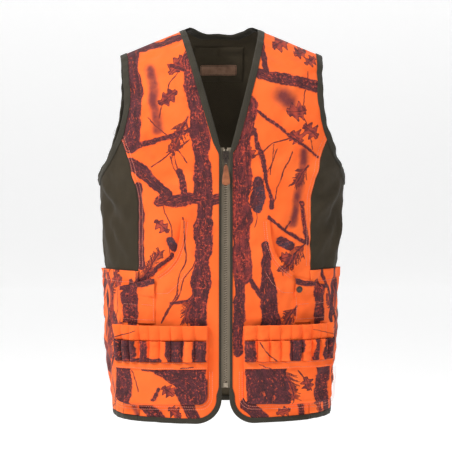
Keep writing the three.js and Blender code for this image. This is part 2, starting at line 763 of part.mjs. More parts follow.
// ---- Hand pockets: welt, inner bag, outer pocket piece and snapped mouth edge ----
pair(
  "hand_pocket_welt",
  strip(mouthPath, -1, () => [
    [-WELT / 2, CLOTH + GAP],
    [WELT / 2, CLOTH + GAP],
    [WELT / 2, CLOTH + GAP + 1],
    [-WELT / 2, CLOTH + GAP + 1],
  ]),
);
const bagX0 = 70 * kx;
const bagX1 = 141 * kx; // clear of the side panel as the front opens
const bagLow = 188 * kz;
const bagHigh = 385 * kz;
const near = -0.9;
// A pouch open at the top: a trough section swept upward, its floor raised at the foot of the pouch
const pouchXs = steps(bagX0, bagX1, 6);
const pouchRings = [
  [bagLow, near - 0.4],
  [bagLow + 1.2, near - 0.4],
  ...steps(bagLow + 1.3, bagHigh, 6).map((z) => [z, -BAG_DEEP]),
].map(([z, bottom]) => {
  const spot = (x, d) => lift(...at(x, z, false), d);
  const inner = pouchXs.map((x, k) => spot(x + (k === 0 ? 1 : k === 6 ? -1 : 0), bottom));
  const under = pouchXs.map((x) => spot(x, -BAG_DEEP - 1));
  const start = [spot(bagX0, near), spot(bagX0 + 1, near)];
  const end = [spot(bagX1 - 1, near), spot(bagX1, near)];
  return [...start, ...inner, ...end, ...under.reverse()];
});
const pouchFaces = [[0, 17, 1], [1, 17, 2], [8, 11, 9], [9, 11, 10]];
for (let k = 0; k < 6; k++) pouchFaces.push([2 + k, 17 - k, 16 - k], [2 + k, 16 - k, 3 + k]);
pair("hand_pocket_bag", skin(pouchRings, { loops: [steps(17, 0, 17)], faces: pouchFaces }));
const patchX0 = 127 * kx;
const patchX1 = 186 * kx;
const flapLow = 233 * kz;
const flapHigh = (x) => mix(266, 251, (x - patchX0) / (patchX1 - patchX0)) * kz;
const patchOut = (t, h) => mix(CLOTH + GAP, FLAP_OUT, smooth((h - CARGO_TOP_Z - 3) / (flapLow - CARGO_TOP_Z - 3)));
pair(
  "side_patch",
  sheet(
    steps(patchX0, patchX1, 7),
    steps(CARGO_TOP_Z + 3, flapLow - 0.5, 3),
    (x, z) => at(x, z, false),
    patchOut,
    (t, h) => patchOut(t, h) + 1,
  ),
);
const flap = sheet(
  steps(patchX0, patchX1, 7),
  steps(0, 1, 2),
  (x, v) => at(x, mix(flapLow, flapHigh(x), v), false),
  flat(FLAP_OUT),
  flat(FLAP_OUT + 1),
);
// The snap stands on the body's normal at its own spot
const [snapT, snapH] = at(SNAP_X * kx, SNAP_Z * kz, false);
const snapTurn = new THREE.Quaternion().setFromUnitVectors(new THREE.Vector3(0, 1, 0), frameAt(snapT, snapH).n);
function onSnap(g) {
  g.applyQuaternion(snapTurn);
  const spot = surface(snapT, snapH);
  return g.translate(spot.x, spot.y, spot.z);
}
const disc = (points) => bare(new THREE.LatheGeometry(points.map(([r, d]) => new THREE.Vector2(r, d)), 20));
const snapHole = onSnap(disc([[0, FLAP_OUT - 3], [2.7, FLAP_OUT - 3], [2.7, FLAP_OUT + 4], [0, FLAP_OUT + 4]]));
pair("pocket_mouth_edge", cut(flap, [snapHole]));
add(
  "snap_stud",
  onSnap(
    disc([
      [0, CLOTH + GAP],
      [5.2, CLOTH + GAP],
      [5.2, CLOTH + GAP + 0.5],
      [1.9, CLOTH + GAP + 0.6],
      [2.1, CLOTH + 2.6],
      [0, CLOTH + 2.9],
    ]),
  ),
);
add(
  "snap_socket",
  onSnap(
    disc([
      [2.6, CLOTH + 1.5],
      [4.8, CLOTH + 1.5],
      [4.8, FLAP_OUT - 0.4],
      [2.6, FLAP_OUT - 0.4],
      [2.6, CLOTH + 1.5],
    ]),
  ),
);
add(
  "snap_cap",
  onSnap(
    disc([
      [0, FLAP_OUT - 0.6], [2.2, FLAP_OUT - 0.6], [2.2, FLAP_OUT + 1.4], [6.2, FLAP_OUT + 1.4],
      [6.2, FLAP_OUT + 1.9], [5, FLAP_OUT + 2.7], [2.6, FLAP_OUT + 3.1], [0, FLAP_OUT + 3.2],
    ]),
  ),
);

// ---- Cargo pockets with cartridge loops ----
const cargoEdge = (z) => {
  const rise = z - CARGO_BOTTOM_Z;
  if (rise >= CARGO_CORNER) return CARGO_IN_X;
  return CARGO_IN_X + CARGO_CORNER - Math.sqrt(CARGO_CORNER ** 2 - (CARGO_CORNER - rise) ** 2);
};
const cargoA = turn(CARGO_IN_X, 0.5 * CARGO_TOP_Z, false);
const cargoB = turn(CARGO_OUT_X, 0.5 * CARGO_TOP_Z, false);
const cargoOut = (t, h) =>
  CLOTH + CARGO_NEAR + CARGO_FAR * smooth((t - cargoA) / (cargoB - cargoA)) +
  CARGO_GAPE * Math.max(0, (h - LOOP_TOP_Z) / (CARGO_TOP_Z - LOOP_TOP_Z));
const cargoSides = [85, 120, LOOP_TOP_Z, CARGO_TOP_Z];
const cargoRows = [0, 1, 4, 9, CARGO_CORNER].map((k) => CARGO_BOTTOM_Z + k).concat(cargoSides);
pair(
  "cargo_pocket",
  sheet(
    steps(0, 1, 16),
    cargoRows,
    (u, h) => [mix(turn(cargoEdge(h), h, false), turn(CARGO_OUT_X, h, false), u), h],
    cargoOut,
    (t, h) => cargoOut(t, h) + CARGO_T,
  ),
);
const gussetPath = [
  ...cargoSides.map((z) => at(CARGO_IN_X, z, false)).reverse(),
  at(CARGO_IN_X, CARGO_BOTTOM_Z + CARGO_CORNER, false),
  ...steps(15, 90, 5).map((deg) => {
    const a = (deg * Math.PI) / 180;
    const x = CARGO_IN_X + CARGO_CORNER * (1 - Math.cos(a));
    return at(x, CARGO_BOTTOM_Z + CARGO_CORNER * (1 - Math.sin(a)), false);
  }),
  ...steps(CARGO_IN_X + CARGO_CORNER, CARGO_OUT_X - 10, 10).slice(1).map((x) => at(x, CARGO_BOTTOM_Z, false)),
  ...steps(30, 90, 2).map((deg) => {
    const a = (deg * Math.PI) / 180;
    return at(CARGO_OUT_X - 10 + 10 * Math.sin(a), CARGO_BOTTOM_Z + 10 * (1 - Math.cos(a)), false);
  }),
  ...cargoSides.map((z) => at(CARGO_OUT_X, z, false)),
];
pair(
  "cargo_gusset",
  strip(gussetPath, -1, (t, h) => [
    [0.3, CLOTH + GAP],
    [1.5, CLOTH + GAP],
    [1.5, cargoOut(t, h) - 0.6],
    [0.3, cargoOut(t, h) - 0.6],
  ]),
);
const onCargo = (t, h) => cargoOut(t, h) + CARGO_T + 0.6;
const bandSheet = (z0, z1, thick) =>
  sheet(
    steps(cargoA, cargoB, 18),
    [z0, z1],
    (t, h) => [mix(turn(CARGO_IN_X, h, false), turn(CARGO_OUT_X, h, false), (t - cargoA) / (cargoB - cargoA)), h],
    onCargo,
    (t, h) => onCargo(t, h) + thick,
  );
pair("cargo_hem", bandSheet(LOOP_TOP_Z + 1.5, CARGO_TOP_Z, 1.4));
pair("loop_base", bandSheet(LOOP_BOTTOM_Z - 15, LOOP_BOTTOM_Z - 1.5, 1));

// Distance along the outside of the pocket, to space the loops evenly
const loopMid = (LOOP_BOTTOM_Z + LOOP_TOP_Z) / 2;
const loopRun = [[0, cargoA]];
for (const t of steps(cargoA, cargoB, 200).slice(1)) {
  const [s0, t0] = loopRun[loopRun.length - 1];
  const a = lift(t0, loopMid, onCargo(t0, loopMid));
  loopRun.push([s0 + a.distanceTo(lift(t, loopMid, onCargo(t, loopMid))), t]);
}
const loopTotal = loopRun[loopRun.length - 1][0];
const pitch = loopTotal / LOOPS;
// Section of the band: a backing with an arch over each loop, in [distance, height]
const section = [];
const faces = [];
const rim = [];
const low = [];
const mouths = [];
const point = (x, y) => section.push([x, y]) - 1;
let lastTop = point(0.4, LOOP_T);
let lastLow = point(0.4, 0);
rim.push(lastLow, lastTop);
for (let i = 0; i < LOOPS; i++) {
  const mid = (i + 0.5) * pitch;
  const wide = 0.5 * pitch - 1;
  const bow = (w, rise, lift0) =>
    steps(0, Math.PI, 8).map((a) => point(mid - w * Math.cos(a), LOOP_T + lift0 + rise * Math.sin(a) ** 0.8));
  const over = bow(wide, LOOP_RISE + LOOP_T, 0);
  const under = bow(wide - LOOP_T, LOOP_RISE - 0.2, 0.2);
  const floor = point(mid, LOOP_T + 0.2);
  const [b0, b1, b2] = [mid - wide, mid, mid + wide].map((x) => point(x, 0));
  faces.push([lastTop, lastLow, b0], [lastTop, b0, over[0]]);
  for (let k = 0; k < 8; k++) {
    faces.push([over[k], under[k], under[k + 1]], [over[k], under[k + 1], over[k + 1]]);
  }
  faces.push([over[0], b0, under[0]], [under[0], b0, b1], [under[0], b1, floor]);
  faces.push([floor, b1, b2], [floor, b2, under[8]], [under[8], b2, over[8]]);
  rim.push(...over);
  low.unshift(b2, b1, b0);
  mouths.push([...under, floor]);
  lastTop = over[8];
  lastLow = b2;
}
const endTop = point(loopTotal - 0.4, LOOP_T);
const endLow = point(loopTotal - 0.4, 0);
faces.push([lastTop, lastLow, endLow], [lastTop, endLow, endTop]);
rim.push(endTop, endLow, ...low);
const loopRings = [LOOP_BOTTOM_Z, LOOP_TOP_Z].map((z) =>
  section.map(([x, y]) => {
    const t = along(loopRun, x);
    return lift(t, z, onCargo(t, z) + y);
  }),
);
const loops = [[...rim].reverse(), ...mouths];
pair("loop_band", skin(loopRings, { loops, faces }));

export default group;
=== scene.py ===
import math

import bmesh
import bpy
import numpy as np
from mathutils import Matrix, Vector


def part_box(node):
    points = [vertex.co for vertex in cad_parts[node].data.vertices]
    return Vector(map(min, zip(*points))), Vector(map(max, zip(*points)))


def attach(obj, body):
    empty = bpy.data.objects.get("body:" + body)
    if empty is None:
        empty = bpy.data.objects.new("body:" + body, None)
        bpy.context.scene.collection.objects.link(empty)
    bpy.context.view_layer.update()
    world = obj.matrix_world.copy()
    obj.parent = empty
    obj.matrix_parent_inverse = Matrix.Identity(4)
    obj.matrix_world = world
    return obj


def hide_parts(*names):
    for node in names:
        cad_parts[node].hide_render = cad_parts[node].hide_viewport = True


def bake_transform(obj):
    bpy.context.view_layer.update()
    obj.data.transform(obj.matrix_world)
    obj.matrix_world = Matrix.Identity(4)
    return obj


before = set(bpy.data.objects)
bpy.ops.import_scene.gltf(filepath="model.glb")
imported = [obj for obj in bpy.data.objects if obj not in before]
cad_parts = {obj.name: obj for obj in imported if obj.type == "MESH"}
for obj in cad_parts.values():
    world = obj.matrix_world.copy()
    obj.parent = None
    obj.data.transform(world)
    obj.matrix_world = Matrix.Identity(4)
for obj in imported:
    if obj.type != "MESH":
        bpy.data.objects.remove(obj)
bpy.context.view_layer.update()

# ---- Front panels -------------------------------------------------------------------------
# Brushed polyester printed with branches on blaze orange, lined with plain olive cloth. Each is
# cut in one piece from the hem to the shoulder seam, and sewn to its binding, side panel and back.
LENGTH, SQUARE = 0.72, 2.3
START, ARC = 0.6944 * LENGTH, 0.39 * LENGTH
TOP = START + ARC
ARMPIT = 0.615 * LENGTH
HEM = 0.0012
V_BOTTOM = 0.69 * LENGTH
CORNER, ZIP_X = 0.045, 0.0084
CLOTH = 0.0016


def smooth(k):
    k = np.clip(k, 0, 1)
    return k * k * (3 - 2 * k)


def mix(a, b, k):
    return a + (b - a) * k


def eased(points, step=0.001, soft=0.018):
    """A polyline of (x, y) points with its corners eased, as two arrays for np.interp."""
    xs = np.arange(points[0][0] - 0.1, points[-1][0] + 0.1, step)
    ys = np.interp(xs, *zip(*points))
    k = np.exp(-((np.arange(-60, 61) * step / soft) ** 2))
    return xs, np.convolve(np.pad(ys, 60, mode="edge"), k / k.sum(), "valid")


def rounding(corner, near):
    """How far a rounded corner draws in, at a distance from the edge that it ends in."""
    return corner - np.sqrt(np.maximum(0, corner**2 - (corner - np.minimum(corner, near)) ** 2))


# half the body's width, and the side seam's distance from the middle, each against height
WIDTHS = eased(
    [
        (0, 0.202), (0.05, 0.2059), (0.135, 0.214), (0.221, 0.2149), (0.297, 0.218), (0.385, 0.2241),
        (ARMPIT, 0.23),
    ]
)
SEAM = eased(
    [(0, 0.157), (0.41, 0.157), (0.436, 0.162), (0.489, 0.175), (0.53, 0.193), (0.56, 0.208)], soft=0.01
)


def half_width(h):
    return np.interp(h, *WIDTHS)


def half_depth(h):
    return mix(0.125, 0.133, np.minimum(1, h / START))


def ridge(x):
    return LENGTH - 0.43 * (np.hypot(x, 0.04) - math.hypot(0.069, 0.04))


def lean_angle(h):
    return np.clip((h - START) / ARC, 0, None) * np.pi / 2


def surf(t, h):
    """The body: t is the angle round it from the centre front, h the height along the cloth."""
    s, c, f = np.sin(t), np.cos(t), lean_angle(h)
    x = half_width(h) * np.sign(s) * np.abs(s) ** (2 / SQUARE)
    y = -half_depth(h) * np.sign(c) * np.abs(c) ** (2 / SQUARE) * np.cos(f)
    z = np.where(f > 0, START + (ridge(x) - START) * np.sin(f), h) - LENGTH
    return np.stack([x, y, z], -1)


def tangents(t, h):
    du = (surf(t + 1e-3, h) - surf(t - 1e-3, h)) / 2e-3
    dv = (surf(t, h + 5e-4) - surf(t, h - 5e-4)) / 1e-3
    n = np.cross(du, dv)
    return du, dv, n / np.linalg.norm(n, axis=-1, keepdims=True)


def waves(a, b, seed, size, count=14):
    """Smooth noise of about +-1 from sines of wavelength near size metres."""
    rng = np.random.default_rng(seed)
    out = 0
    for _ in range(count):
        turn_, k = rng.uniform(0, 2 * np.pi), 2 * np.pi / (size * rng.uniform(0.7, 1.6))
        out = out + np.sin(k * (a * math.cos(turn_) + b * math.sin(turn_)) + rng.uniform(0, 6.3))
    return out / math.sqrt(count)


# Soft folds, each from one point to another, in metres round the body and up it, with a width and a rise
FOLDS = [
    (0.262, 0.455, 0.150, 0.375, 0.012, 0.0046), (0.275, 0.430, 0.175, 0.330, 0.013, -0.0040),
    (0.268, 0.475, 0.120, 0.455, 0.011, 0.0030), (0.290, 0.400, 0.215, 0.270, 0.014, 0.0046),
    (0.235, 0.365, 0.150, 0.300, 0.010, 0.0030), (0.215, 0.290, 0.120, 0.210, 0.011, -0.0032),
    (0.185, 0.560, 0.105, 0.500, 0.016, 0.0036), (0.165, 0.640, 0.075, 0.560, 0.018, -0.0030),
    (0.100, 0.430, 0.060, 0.300, 0.012, 0.0022), (0.130, 0.260, 0.060, 0.230, 0.010, 0.0024),
    (0.040, 0.480, 0.095, 0.420, 0.010, 0.0024), (0.300, 0.380, 0.300, 0.180, 0.016, -0.0040),
    (0.330, 0.420, 0.345, 0.220, 0.018, 0.0042), (0.375, 0.450, 0.400, 0.250, 0.018, -0.0034),
    (0.420, 0.500, 0.520, 0.400, 0.016, 0.0040), (0.430, 0.440, 0.560, 0.380, 0.015, -0.0034),
    (0.480, 0.340, 0.600, 0.320, 0.015, 0.0030), (0.560, 0.640, 0.470, 0.540, 0.017, 0.0030),
]


def relief(t, h):
    """How far soft folds lift the cloth off the smooth body."""
    t = np.mod(np.asarray(t, float) + np.pi, 2 * np.pi) - np.pi
    a, side = np.abs(t) * 0.2, np.sign(t)
    out = 0.0013 * waves(t * 0.2, h, 3, 0.11) + 0.0011 * waves(t * 0.2, h, 5, 0.04)
    out = out + 0.0003 * waves(t * 0.2, h, 7, 0.018)
    for i, (a0, h0, a1, h1, w, rise) in enumerate(FOLDS):
        # the two sides crumple alike but not the same
        sh = np.where(side > 0, 0.0, 0.013 * math.sin(i * 2.3))
        sa = np.where(side > 0, 0.0, 0.009 * math.cos(i * 1.7))
        dx, dy = a1 - a0, h1 - h0
        run = math.hypot(dx, dy)
        px, py = a - a0 - sa, h - h0 - sh
        k = (px * dx + py * dy) / run**2
        across = (px * dy - py * dx) / run + 0.004 * np.sin(k * 4 + i)
        ends = smooth(k / 0.35) * smooth((1.1 - k) / 0.5)
        out = out + 1.3 * rise * np.exp(-((across / w) ** 2)) * ends * np.where(side > 0, 1, 0.85)
    x = np.abs(surf(t, h)[..., 0])
    front = np.cos(t) > 0
    held = np.where(front, smooth((x - 0.011) / 0.04), 1) * mix(0.05, 1, smooth((TOP - h) / 0.1))
    return out * held


def place(t, h, d):
    t, h, d = np.broadcast_arrays(np.asarray(t, float), h, d)
    return surf(t, h) + tangents(t, h)[2] * (d + relief(t, h))[..., None]


def turn(x, h, back=False):
    a = np.arcsin(np.minimum(1, np.abs(x) / half_width(h)) ** (SQUARE / 2))
    if back:
        return np.where(np.asarray(x) >= 0, np.pi - a, np.pi + a)
    return np.where(np.asarray(x) >= 0, a, -a)


def level(x, z):
    s = np.clip((z - START) / (ridge(x) - START), 0, 1)
    return np.where(z <= START, z, START + ARC * np.arcsin(s) * 2 / np.pi)


def at(x, z, back=False):
    h = level(np.asarray(x, float), np.asarray(z, float))
    return turn(x, h, back), h


def crossing(curve, h, back=False):
    """t where the front-view curve x(z) crosses level h."""
    x, f = curve(h), lean_angle(h)
    for _ in range(12):
        x = curve(np.where(f > 0, START + (ridge(x) - START) * np.sin(f), h))
    return turn(x, h, back)


def through(points, count=500):
    """A centripetal Catmull-Rom curve through 2-D points."""
    p = np.array(
        [2 * np.array(points[0]) - points[1], *points, 2 * np.array(points[-1]) - points[-2]], float
    )
    out = []
    for p0, p1, p2, p3 in zip(p, p[1:], p[2:], p[3:]):
        k = np.cumsum([0, *(math.sqrt(math.dist(a, b)) for a, b in ((p0, p1), (p1, p2), (p2, p3)))])
        s = np.linspace(k[1], k[2], max(2, count // (len(points) - 1)))[:, None]
        a1 = (k[1] - s) / (k[1] - k[0]) * p0 + (s - k[0]) / (k[1] - k[0]) * p1
        a2 = (k[2] - s) / (k[2] - k[1]) * p1 + (s - k[1]) / (k[2] - k[1]) * p2
        a3 = (k[3] - s) / (k[3] - k[2]) * p2 + (s - k[2]) / (k[3] - k[2]) * p3
        b1 = (k[2] - s) / (k[2] - k[0]) * a1 + (s - k[0]) / (k[2] - k[0]) * a2
        b2 = (k[3] - s) / (k[3] - k[1]) * a2 + (s - k[1]) / (k[3] - k[1]) * a3
        out.append(((k[2] - s) / (k[2] - k[1]) * b1 + (s - k[1]) / (k[2] - k[1]) * b2)[:-1])
    return np.concatenate([*out, p[-2:-1]])


tip = float(ridge(0.188))
arm_front = [
    (0.188, tip), (0.1825, 0.6192), (0.182, 0.5846), (0.19, 0.54), (0.205, 0.5), (0.221, 0.463)
]
arm_back = [
    (0.188, tip), (0.1855, 0.6192), (0.186, 0.5846), (0.194, 0.54), (0.208, 0.5), (0.222, 0.463)
]
knots = [[float(v) for v in at(x, z)] for x, z in arm_front] + [[math.pi / 2, ARMPIT]]
knots += [[float(v) for v in at(x, z, True)] for x, z in reversed(arm_back)]
knots[0][1] = knots[-1][1] = TOP
ARM = through([(t * 0.2, h) for t, h in knots]) / (0.2, 1)
ARM_LOW = int(ARM[:, 1].argmin())


def seam_front(h):
    return crossing(lambda z: np.interp(z, *SEAM), h)


def seam_back(h):
    return crossing(lambda z: np.interp(z, *SEAM) + 0.003, h, True)


def arm_t(h, back=False):
    part = ARM[ARM_LOW:] if back else ARM[: ARM_LOW + 1][::-1]
    return np.interp(h, part[:, 1], part[:, 0])


def front_outer(h):
    return np.where(h > ARMPIT, np.minimum(seam_front(h), arm_t(h)), seam_front(h))


def back_outer(h):
    return np.where(h > ARMPIT, np.maximum(seam_back(h), arm_t(h, True)), seam_back(h))


def front_edge(z):
    low = ZIP_X + rounding(CORNER, np.maximum(0, z - HEM))
    return np.where(z < V_BOTTOM, low, mix(ZIP_X, 0.069, (z - V_BOTTOM) / (LENGTH - V_BOTTOM)))


def front_inner(h):
    return crossing(front_edge, h)


# The print: strokes in millimetres across and up the front, as (kind, width, tone, points)
PRINT_RIGHT = [
    ("trunk", 34, 0.2, [(-172, 690), (-168, 600), (-170, 515)]),
    ("trunk", 13, 0.1, [(-155, 683), (-82, 704)]),
    ("soft", 15, 0.5, [(-134, 645), (-122, 536)]),
    ("trunk", 9, 0.3, [(-160, 506), (-105, 522), (-46, 546)]),
    ("trunk", 31, 0.55, [(-62, 660), (-55, 600), (-44, 500), (-38, 405), (-42, 300), (-50, 188)]),
    ("trunk", 19, 0.55, [(-120, 408), (-70, 412), (-11, 413)]),
    ("trunk", 14, 0.35, [(-84, 462), (-74, 424)]),
    ("trunk", 22, 0.15, [(-169, 478), (-140, 452), (-108, 420)]),
    ("trunk", 15, 0.1, [(-157, 434), (-154, 286)]),
    ("needles", 3, 0.2, [(-156, 250), (-122, 312)]), ("trunk", 8, 0.3, [(-97, 310), (-160, 250)]),
    ("trunk", 15, 0.0, [(-99, 336), (-91, 323)]),
    ("line", 2, 0.3, [(-101, 489), (-88, 455), (-72, 424)]),
    ("line", 2, 0.3, [(-95, 494), (-80, 450), (-76, 420)]),
    ("line", 2.4, 0.3, [(-77, 378), (-72, 312), (-90, 240), (-114, 184)]),
    ("line", 2.2, 0.3, [(-55, 303), (-80, 250), (-111, 190)]),
    ("line", 2.4, 0.3, [(-135, 470), (-66, 519)]),
    ("line", 1.8, 0.3, [(-110, 400), (-96, 345), (-104, 300)]),
    ("trunk", 26, 0.45, [(-172, 250), (-170, 180)]),
    ("leaf", 30, 0.7, [(-118, 585), (-86, 604)]), ("leaf", 26, 0.4, [(-100, 640), (-76, 668)]),
    ("needles", 3, 0.4, [(-70, 560), (-96, 500)]), ("leaf", 24, 0.6, [(-128, 372), (-104, 352)]),
    ("trunk", 6, 0.3, [(-38, 250), (-70, 228), (-98, 222)]), 
    ("line", 2, 0.3, [(-60, 690), (-100, 620), (-120, 560)]),
    ("trunk", 7, 0.6, [(-96, 655), (-60, 640)]),
    ("trunk", 24, 0.4, [(-150, 34), (-120, 6)]), ("trunk", 20, 0.2, [(-70, 36), (-52, 4)]),
    ("leaf", 26, 0.5, [(-105, 24), (-80, 14)]),
    ("needles", 3, 0.2, [(-60, 240), (-72, 190)]),
    ("line", 2, 0.4, [(-140, 560), (-100, 520), (-70, 480)]),
]
PRINT_LEFT = [
    ("trunk", 11, 0.2, [(68, 700), (72, 668), (76, 636)]),
    ("trunk", 19, 0.5, [(64, 636), (120, 628), (178, 615)]),
    ("leaf", 34, 0.6, [(92, 690), (122, 700)]), ("leaf", 30, 0.4, [(128, 676), (156, 684)]),
    ("leaf", 28, 0.8, [(150, 654), (174, 668)]),
    ("soft", 26, 0.6, [(104, 600), (118, 586)]), ("leaf", 40, 0.5, [(116, 566), (150, 574)]),
    ("leaf", 36, 0.7, [(140, 544), (170, 524)]),
    ("leaf", 30, 0.3, [(118, 536), (140, 512)]), ("trunk", 5, 0.3, [(58, 570), (110, 532), (168, 488)]),
    ("line", 2.6, 0.3, [(130, 530), (86, 512), (46, 484)]), ("leaf", 26, 0.5, [(54, 486), (34, 506)]),
    ("trunk", 34, 0.72, [(42, 582), (30, 530), (29, 450), (27, 360), (31, 272)]),
    ("trunk", 22, 0.0, [(58, 442), (59, 398)]),
    ("trunk", 7, 0.4, [(51, 537), (70, 470), (84, 394)]), ("line", 2, 0.3, [(88, 508), (81, 456)]),
    ("line", 2, 0.3, [(122, 498), (100, 450), (82, 396)]),
    ("soft", 12, 0.4, [(144, 495), (136, 430), (122, 366)]),
    ("trunk", 6, 0.3, [(79, 378), (110, 352), (146, 330)]), ("trunk", 4, 0.3, [(108, 354), (118, 372)]),
    ("trunk", 17, 0.0, [(100, 334), (120, 324)]), ("needles", 3, 0.2, [(146, 330), (106, 282)]),
    ("wedge", 12, 0.15, [(72, 330), (76, 260), (84, 178)]),
    ("trunk", 8, 0.4, [(38, 276), (58, 244), (80, 204)]),
    ("trunk", 20, 0.3, [(24, 362), (26, 250), (22, 134)]),
    ("needles", 3, 0.2, [(128, 214), (110, 180)]),
    ("trunk", 21, 0.5, [(170, 252), (176, 180)]), ("line", 1.8, 0.3, [(96, 500), (60, 430), (52, 360)]),
    ("needles", 3, 0.3, [(150, 470), (128, 440)]), ("leaf", 24, 0.5, [(100, 300), (122, 306)]),
    ("trunk", 9, 0.6, [(140, 400), (150, 330)]), ("line", 2, 0.4, [(156, 640), (140, 570), (160, 500)]),
    ("trunk", 26, 0.3, [(40, 36), (68, 8)]), ("trunk", 10, 0.4, [(140, 34), (146, 4)]),
    ("leaf", 24, 0.5, [(96, 14), (120, 22)]), ("line", 2, 0.3, [(70, 300), (92, 240), (84, 190)]),
]


def woods(x0, x1, z0, z1, seed, per_m2=900):
    """Strokes of the same print over any other stretch of cloth, in millimetres."""
    rng, out = np.random.default_rng(seed), []
    for _ in range(max(3, int(per_m2 * abs(x1 - x0) * (z1 - z0) * 1e-6))):
        x, z = mix(x0, x1, rng.uniform()), mix(z0, z1, rng.uniform())
        kind = rng.choice(["trunk", "trunk", "leaf", "line", "line", "needles", "soft"])
        a = rng.normal(math.pi / 2, 0.6)
        runs = {"trunk": rng.uniform(50, 190), "leaf": 30, "line": 110, "needles": 60, "soft": 100}
        trunk, leaf = rng.choice([6, 9, 16, 26]), rng.uniform(24, 36)
        widths = {"trunk": trunk, "leaf": leaf, "line": 2.2, "needles": 3, "soft": 13}
        run, wide = runs[kind], widths[kind]
        dx, dz, bend = run / 2 * math.cos(a), run / 2 * math.sin(a), rng.normal(0, 6)
        out.append((kind, wide, rng.uniform(0, 1), [(x - dx, z - dz), (x + bend, z), (x + dx, z + dz)]))
    return out


def spread_needles(strokes):
    """Turns each tuft of needles into its stem and its fine lines."""
    out = []
    for n, (kind, w, tone, pts) in enumerate(strokes):
        if kind != "needles":
            out.append((kind, w, tone, pts))
            continue
        rng = np.random.default_rng(n + 40)
        (x0, z0), (x1, z1) = pts[0], pts[-1]
        out.append(("trunk", w, tone, [(x0, z0), (x1, z1)]))
        along_, run = math.atan2(z1 - z0, x1 - x0), math.hypot(x1 - x0, z1 - z0)
        for k in np.arange(0.08, 1.05, 2.6 / run):
            for side in (-1, 1):
                a = along_ + side * rng.uniform(0.45, 0.95)
                long = rng.uniform(11, 21) * (1.15 - 0.5 * k)
                x, z = mix(x0, x1, k), mix(z0, z1, k)
                out.append(
                    ("line", 1.5, 0.2, [(x, z), (x + long * math.cos(a), z + long * math.sin(a))])
                )
    return out


def print_fields(x, z, strokes):
    """Distances to the print's shapes at points x, z, as three vector attributes."""
    shape_, x, z = x.shape, x.ravel() * 1000, z.ravel() * 1000
    wx = x + 1.8 * waves(x, z, 11, 50) + 0.35 * waves(x, z, 12, 9)
    wz = z + 1.8 * waves(x, z, 13, 50) + 0.35 * waves(x, z, 14, 9)
    far = np.full(x.size, 40.0)
    dark, leaf, near, line = far.copy(), far.copy(), far.copy(), far.copy()
    along_, across, tone, soft, vein = (np.zeros(x.size) for _ in range(5))
    for kind, w, shade, pts in spread_needles(strokes):
        p = np.array(pts, float)
        pad = w + 12
        (x_low, z_low), (x_high, z_high) = p.min(0) - pad, p.max(0) + pad
        idx = np.nonzero((wx > x_low) & (wx < x_high) & (wz > z_low) & (wz < z_high))[0]
        if not idx.size:
            continue
        px, pz, run = wx[idx], wz[idx], 0.0
        total = sum(math.dist(a, b) for a, b in zip(p, p[1:]))
        best = np.full(idx.size, 1e9)
        best_a, best_c = np.zeros(idx.size), np.zeros(idx.size)
        for a, b in zip(p, p[1:]):
            d = b - a
            long = float(np.hypot(*d))
            k = np.clip(((px - a[0]) * d[0] + (pz - a[1]) * d[1]) / long**2, 0, 1)
            ox, oz = px - a[0] - k * d[0], pz - a[1] - k * d[1]
            dist = np.hypot(ox, oz)
            hit = dist < best
            best = np.where(hit, dist, best)
            best_a = np.where(hit, run + k * long, best_a)
            best_c = np.where(hit, np.where(ox * d[1] - oz * d[0] > 0, dist, -dist), best_c)
            run += long
        if kind in ("trunk", "wedge"):
            knots = 0.07 * np.sin(best_a * 0.07 + shade * 9) + 0.04 * np.sin(best_a * 0.23 + shade * 5)
            wide = w / 2 * (1 + knots)
            if kind == "wedge":
                wide = wide * (1 + 2.4 * best_a / total)
            d = best - wide
            hit = d < dark[idx]
            j = idx[hit]
            dark[j], along_[j], across[j], tone[j] = d[hit], best_a[hit], best_c[hit] / wide[hit], shade
        elif kind == "leaf":
            k = best_a / total
            lobes = 1 + 0.42 * np.cos(k * 19)
            wide = w * 0.36 * np.sin(np.pi * np.clip(k * 0.94 + 0.03, 0, 1)) ** 0.6 * lobes
            past_end = (k <= 0) | (k >= 1)
            d = np.where(past_end, best, np.abs(best_c)) - np.where(past_end, 0.8, wide)
            hit = d < leaf[idx]
            j = idx[hit]
            leaf[j], vein[j] = d[hit], best_c[hit]
            tone[j] = np.where(dark[j] > 3, shade, tone[j])
        elif kind == "soft":
            soft[idx] = np.maximum(soft[idx], smooth(1.2 - best / (w * 0.8)))
        else:
            d = best - (w / 2 - 0.9)
            hit = d < near[idx]
            j = idx[hit]
            near[j], line[j] = d[hit], best_c[hit] / (w / 2)
    a = np.stack([dark, along_, across], -1)
    b = np.stack([tone, soft, leaf], -1)
    c = np.stack([line, near, vein], -1)
    return {"print_a": a, "print_b": b, "print_c": c}


def bare_object(name, verts, faces):
    me = bpy.data.meshes.new(name)
    me.from_pydata(np.asarray(verts, float).tolist(), [], [list(map(int, f)) for f in faces])
    me.validate()
    ob = bpy.data.objects.new(name, me)
    bpy.context.scene.collection.objects.link(ob)
    return ob


def finish_piece(ob, mats, inner=None, fields=None, uv=None):
    """Materials, the lining's faces, per-vertex print fields and the cloth's own coordinates."""
    me = ob.data
    for m in mats:
        me.materials.append(m)
    if inner is not None and len(mats) > 1:
        me.polygons.foreach_set("material_index", np.asarray(inner, np.int32))
    me.polygons.foreach_set("use_smooth", np.ones(len(me.polygons), bool))
    for name, value in (fields or {}).items():
        att = me.attributes.new(name, "FLOAT_VECTOR", "POINT")
        att.data.foreach_set("vector", np.asarray(value, np.float32).ravel())
    if uv is not None:
        layer = me.uv_layers.new(name="cloth")
        loops = np.zeros(len(me.loops), np.int32)
        me.loops.foreach_get("vertex_index", loops)
        layer.data.foreach_set("uv", np.asarray(uv, np.float32)[loops].ravel())
    me.update()
    return ob


